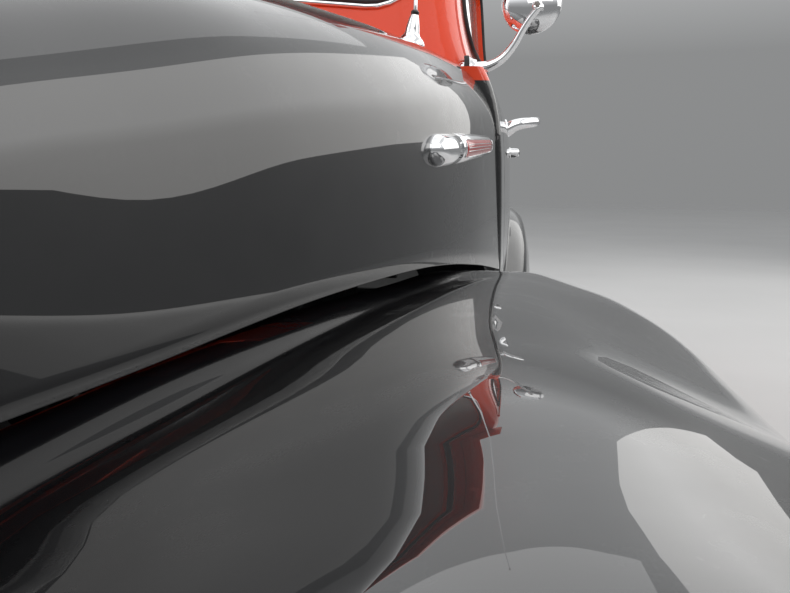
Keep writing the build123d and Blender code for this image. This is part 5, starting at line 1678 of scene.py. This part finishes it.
TURNINGS = [
    # name, place, axis, look, steps, then the profile
    ("cover_nut_0", (18, ENGINE_FRONT + 170, 992), UPWARDS, CHROME, 24, COVER_NUT),
    ("cover_nut_1", (18, ENGINE_REAR - 170, 992), UPWARDS, CHROME, 24, COVER_NUT),
    ("oil_filler", (18, ENGINE_FRONT + 78, 990), UPWARDS, BLACK, 40, [
        (0, -6), (24, -6), (24, 8), (29, 9), (30, 12), (30, 22), (27, 25), (0, 26),
    ]),
    ("distributor", DISTRIBUTOR, (0.18, 0, 1), BAKELITE, 48, [
        (0, -130), (18, -130), (19, -60), (34, -48), (40, -40), (42, -4), (44, 0), (44, 8),
        (40, 30), (30, 38), (12, 42), (0, 42),
    ]),
    ("ignition_coil", (140, -1350, 800), (0, 0.1, 1), BLACK, 36, [
        (0, -60), (26, -60), (28, -56), (28, 48), (24, 54), (12, 58), (9, 68), (0, 69),
    ]),
    ("generator", (196, -1760, 726), FORWARDS, BLACK, 48, [
        (0, -100), (40, -98), (56, -90), (58, -84), (58, 84), (56, 92), (30, 98), (14, 100),
        (13, 118), (0, 119),
    ]),
    ("carburettor", (-150, -1560, 856), UPWARDS, ALLOY, 40, [
        (0, 0), (44, 0), (44, 8), (30, 10), (32, 34), (46, 38), (48, 72), (40, 78), (34, 96),
        (38, 98), (38, 108), (0, 108),
    ]),
    ("air_cleaner", (-150, -1560, 966), UPWARDS, BLACK, 72, [
        (0, -6), (44, -6), (52, 0), (104, 2), (112, 8), (114, 14), (114, 66), (110, 74),
        (100, 78), (30, 88), (26, 90), (0, 91),
    ]),
    ("cleaner_nut", (-150, -1560, 1057), UPWARDS, CHROME, 24, [
        (0, 0), (16, 0), (16, 5), (7, 8), (6, 16), (0, 17),
    ]),
    ("water_pump", HUB, FORWARDS, ENGINE_ENAMEL, 48, [
        (0, -10), (64, -10), (62, 22), (40, 38), (30, 66), (0, 66),
    ]),
    ("fan_hub", HUB, FORWARDS, CHASSIS, 36, [(0, 60), (30, 60), (32, 66), (32, 92), (26, 98), (0, 99)]),
    ("radiator_cap", (0, -2188, 872), UPWARDS, BRASS, 48, [
        (0, -10), (30, -10), (30, 6), (38, 8), (40, 12), (39, 22), (34, 27), (12, 30), (0, 30.5),
    ]),
    ("gearbox_case", (0, ENGINE_REAR, 520), (0, 1, 0), IRON, 64, [
        (0, -4), (158, -4), (160, 10), (150, 70), (118, 120), (92, 150), (76, 168), (74, 300), (78, 306),
        (78, 318), (70, 330), (66, 470), (70, 474), (70, 486), (60, 500), (58, 556), (0, 560),
    ]),
]
PIPES = [
    # name, look, sides, up, breadth, steps between rows, then rows of X, Y, height and radius
    ("distributor_neck", ALLOY, 20, (0, 1, 0), 1.0, 1, [
        (128, -1560, 676, 20), (150, -1560, 704, 20), (158, -1560, 722, 18),
    ]),
    ("intake_manifold", ALLOY, 24, UPWARDS, 1.05, 2, [
        (-150, y, 838, 21) for y in (-1810, -1700, -1560, -1420, -1310)
    ]),
    ("exhaust_manifold", STEEL, 24, (0.3, 1, 0.2), 1.0, 3, [
        *[(-172, y, 780, 26) for y in (-1810, -1700, -1560, -1440)],
        (-186, -1430, 740, 27), (-214, -1430, 660, 27), (-240, -1432, 580, 26), (-250, -1433, 512, 25),
    ]),
    ("top_hose", HOSE, 24, (1, 0, 0), 1.0, 4, [
        (-40, ENGINE_FRONT + 30, 905, 24), (-44, -1905, 912, 24), (-70, -1990, 905, 24),
        (-92, -2080, 880, 24), (-96, -2150, 838, 24),
    ]),
    ("low_hose", HOSE, 24, (1, 0, 0), 1.0, 4, [
        (60, -2148, 640, 22), (58, -2060, 640, 22), (40, -1960, 680, 22), (30, ENGINE_FRONT - 8, 730, 22),
    ]),
]
PULLEYS = [
    # label, X, height, radius
    ("pump", 0, 772, 62), ("crank", 0, 618, 78), ("generator", 196, 726, 42),
]
BELT = [
    # X and height of a pulley, the belt's place round it in degrees, radius
    (0, 618, -90, 78), (0, 618, -30, 78), (196, 726, -20, 42), (196, 726, 60, 42), (0, 772, 80, 60),
    (0, 772, 150, 60), (0, 772, 185, 60), (0, 618, 175, 78), (0, 618, 230, 78),
]
FAN_ROWS = [
    # distance from the axis, half width
    (24, 22), (60, 30), (110, 42), (160, 50), (186, 44), (194, 28),
]


def make_plug(number):
    """One spark plug and its lead to the distributor."""
    axis = Vector((0.82, 0, 0.57)).normalized()
    foot = Vector((104, ENGINE_FRONT + 62 + 97 * number, 872))
    lathe(f"plug_hex_{number}", PLUG_HEX, foot, axis, STEEL, "body", 6, 20)
    lathe(f"plug_top_{number}", PLUG_TOP, foot, axis, DIAL, "body", 20)
    start = foot + axis * 36
    turn = number * 1.05
    cap = Vector((204 + 9 * math.cos(turn), -1560 + 16 * math.sin(turn), 862))
    bend = start.lerp(cap, 0.5) + Vector((26, 0, 34 + 4 * number))
    route = (start, start + axis * 22, bend, cap + Vector((0, 0, 24)), cap)
    sweep(f"plug_lead_{number}", between([(*point, 3.6) for point in route], 5), HOSE, "body", 8, (0.3, 0, 1))


def make_runners():
    for number, y in enumerate((-1800, -1680, -1560, -1440, -1320)):
        rows = between([(-98, y, 846, 19), (-124, y, 844, 19), (-150, y, 838, 20)], 2)
        sweep(f"intake_runner_{number}", rows, ALLOY, "body", 20, UPWARDS)
        if number < 4:
            rows = between([(-98, y + 34, 800, 21), (-134, y + 34, 794, 21), (-170, y + 20, 780, 23)], 2)
            sweep(f"exhaust_runner_{number}", rows, STEEL, "body", 20, UPWARDS)


def make_pulleys():
    for label, x, z, radius in PULLEYS:
        rim = [(0, 28), (radius, 28), (radius, 32), (radius - 12, 40), (radius, 48), (radius, 52)]
        rim += [(radius - 18, 52), (radius - 22, 42), (22, 42), (20, 54), (0, 55)]
        lathe(f"pulley_{label}", rim, (x, ENGINE_FRONT, z), FORWARDS, CHASSIS, "body", 48)
    rows = []
    for x, z, degrees, radius in BELT:
        angle = math.radians(degrees)
        rows.append((x + radius * math.cos(angle), ENGINE_FRONT - 40, z + radius * math.sin(angle), 6))
    sweep("fan_belt", between(rows + rows[:1], 4)[:-1], RUBBER, "body", 8, (0, 1, 0), 1.0, True)


def make_fan_blade(number):
    turn = math.tau * number / 4 + 0.4
    out = Vector((math.cos(turn), 0, math.sin(turn)))
    across = Vector((-math.sin(turn), 0, math.cos(turn)))
    rows = []
    for reach, half in FAN_ROWS:
        row = []
        for step in range(7):
            share = -1 + step / 3
            twist = 12 * share + 3 * (1 - share ** 2)
            row.append((HUB + out * reach + across * half * share - Vector((0, 84 + twist, 0))) / 1000)
        rows.append(row)
    blade = grid(f"fan_blade_{number}", rows, ENGINE_ENAMEL, "body")
    thicken(blade, 0.0022, 0.0005)


castings = []
for name, outline, x, behind, z, length, look, bevel in CASTINGS:
    place = (x, ENGINE_FRONT + behind, z)
    castings.append(slab(name, outline, length, place, (1, 0, 0), UPWARDS, look, "body", bevel))
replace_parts(castings[0], "engine")
for name, place, axis, look, steps, profile in TURNINGS:
    lathe(name, profile, place, axis, look, "body", steps)
for name, look, sides, up, wide, steps, rows in PIPES:
    sweep(name, between(rows, steps), look, "body", sides, up, wide)
for number in range(6):
    make_plug(number)
make_runners()
make_pulleys()
for number in range(4):
    make_fan_blade(number)


# Floor, backdrop and lights

FLOOR_FADE_FROM = 9.0
FLOOR_FADE_TO = 34.0


def make_stage():
    """A pale floor that fades into the room's own colour far from the van."""
    bpy.ops.mesh.primitive_plane_add(size=180, location=(0, 0, 0))
    floor = bpy.context.object
    floor.name = "stage_floor"
    material, tree, shader = new_material("stage_floor", Roughness=0.7)
    tone = ramp(tree, noise(tree, 0.8), [(0.3, grey(0.60)), (0.7, grey(0.64))])
    tree.links.new(tone, shader.inputs["Base Color"])
    length = add_node(tree, "ShaderNodeVectorMath", {0: own_place(tree)}, operation="LENGTH").outputs["Value"]
    inputs = {"From Min": FLOOR_FADE_FROM, "From Max": FLOOR_FADE_TO, "Value": length}
    fade = add_node(tree, "ShaderNodeMapRange", inputs, interpolation_type="SMOOTHSTEP").outputs["Result"]
    clear = add_node(tree, "ShaderNodeBsdfTransparent").outputs[0]
    mix = add_node(tree, "ShaderNodeMixShader", {0: fade, 1: shader.outputs[0], 2: clear})
    output = next(n for n in tree.nodes if n.type == "OUTPUT_MATERIAL")
    tree.links.new(mix.outputs[0], output.inputs["Surface"])
    floor.data.materials.append(material)


SKY = [
    # share of a quarter turn above the horizon, brightness
    (0.000, 0.26),
    (0.090, 0.27),
    (0.160, 0.46),
    (0.230, 0.95),
    (0.520, 0.98),
    (0.750, 0.62),
    (1.000, 0.50),
]
SOFT_SHARE = 0.50
PANELS = [
    # name, place, target, size, power, colour
    ("left_panel", (5.2, 1.5, 3.7), (0, 0.6, 0.9), (11.0, 4.0), 175, (1.0, 0.985, 0.96)),
    ("right_panel", (-5.2, 1.5, 3.7), (0, 0.6, 0.9), (11.0, 4.0), 140, (0.96, 0.98, 1.0)),
    ("top_panel", (0.0, 0.2, 5.8), (0, 0.2, 0), (6.4, 10.0), 130, (1, 1, 1)),
    ("front_panel", (1.5, -7.0, 5.0), (0, -1.5, 0.8), (7.0, 3.6), 115, (1.0, 0.98, 0.95)),
]


def make_world():
    """A soft grey room that brightens upwards, dimmer as a light than the camera and mirrors see it."""
    world = bpy.data.worlds.new("studio")
    scene.world = world
    world.use_nodes = True
    tree = world.node_tree
    background = next(n for n in tree.nodes if n.type == "BACKGROUND")
    way = add_node(tree, "ShaderNodeTexCoord").outputs["Generated"]
    height = add_node(tree, "ShaderNodeSeparateXYZ", {"Vector": way}).outputs["Z"]
    rise = add_node(tree, "ShaderNodeMath", {0: height}, operation="ARCSINE").outputs[0]
    inputs = {0: rise, 1: 2 / math.pi}
    share = add_node(tree, "ShaderNodeMath", inputs, operation="MULTIPLY", use_clamp=True).outputs[0]
    stops = [(level, (value * 0.975, value * 0.99, value, 1)) for level, value in SKY]
    tree.links.new(ramp(tree, share, stops), background.inputs["Color"])
    rays = add_node(tree, "ShaderNodeLightPath").outputs
    inputs = {0: rays["Is Camera Ray"], 1: rays["Is Glossy Ray"]}
    seen = add_node(tree, "ShaderNodeMath", inputs, operation="ADD").outputs[0]
    inputs = {0: seen, 1: rays["Is Transmission Ray"]}
    shown = add_node(tree, "ShaderNodeMath", inputs, operation="ADD", use_clamp=True).outputs[0]
    inputs = {"To Min": SOFT_SHARE, "To Max": 1.0, "Value": shown}
    strength = add_node(tree, "ShaderNodeMapRange", inputs).outputs["Result"]
    tree.links.new(strength, background.inputs["Strength"])


def make_panel(name, place, target, size, power, colour):
    """A soft panel of light that the camera doesn't see."""
    data = bpy.data.lights.new(name, "AREA")
    data.shape = "RECTANGLE"
    data.size, data.size_y = size
    data.energy = power
    data.color = colour
    lamp = bpy.data.objects.new(name, data)
    lamp.location = place
    way = Vector(target) - Vector(place)
    lamp.rotation_euler = way.to_track_quat("-Z", "Y").to_euler()
    scene.collection.objects.link(lamp)
    lamp.visible_camera = False


make_stage()
make_world()
for panel in PANELS:
    make_panel(*panel)
scene.view_settings.view_transform = "Standard"
scene.view_settings.look = "None"
scene.view_settings.exposure = 0.0
scene.view_settings.gamma = 1.0
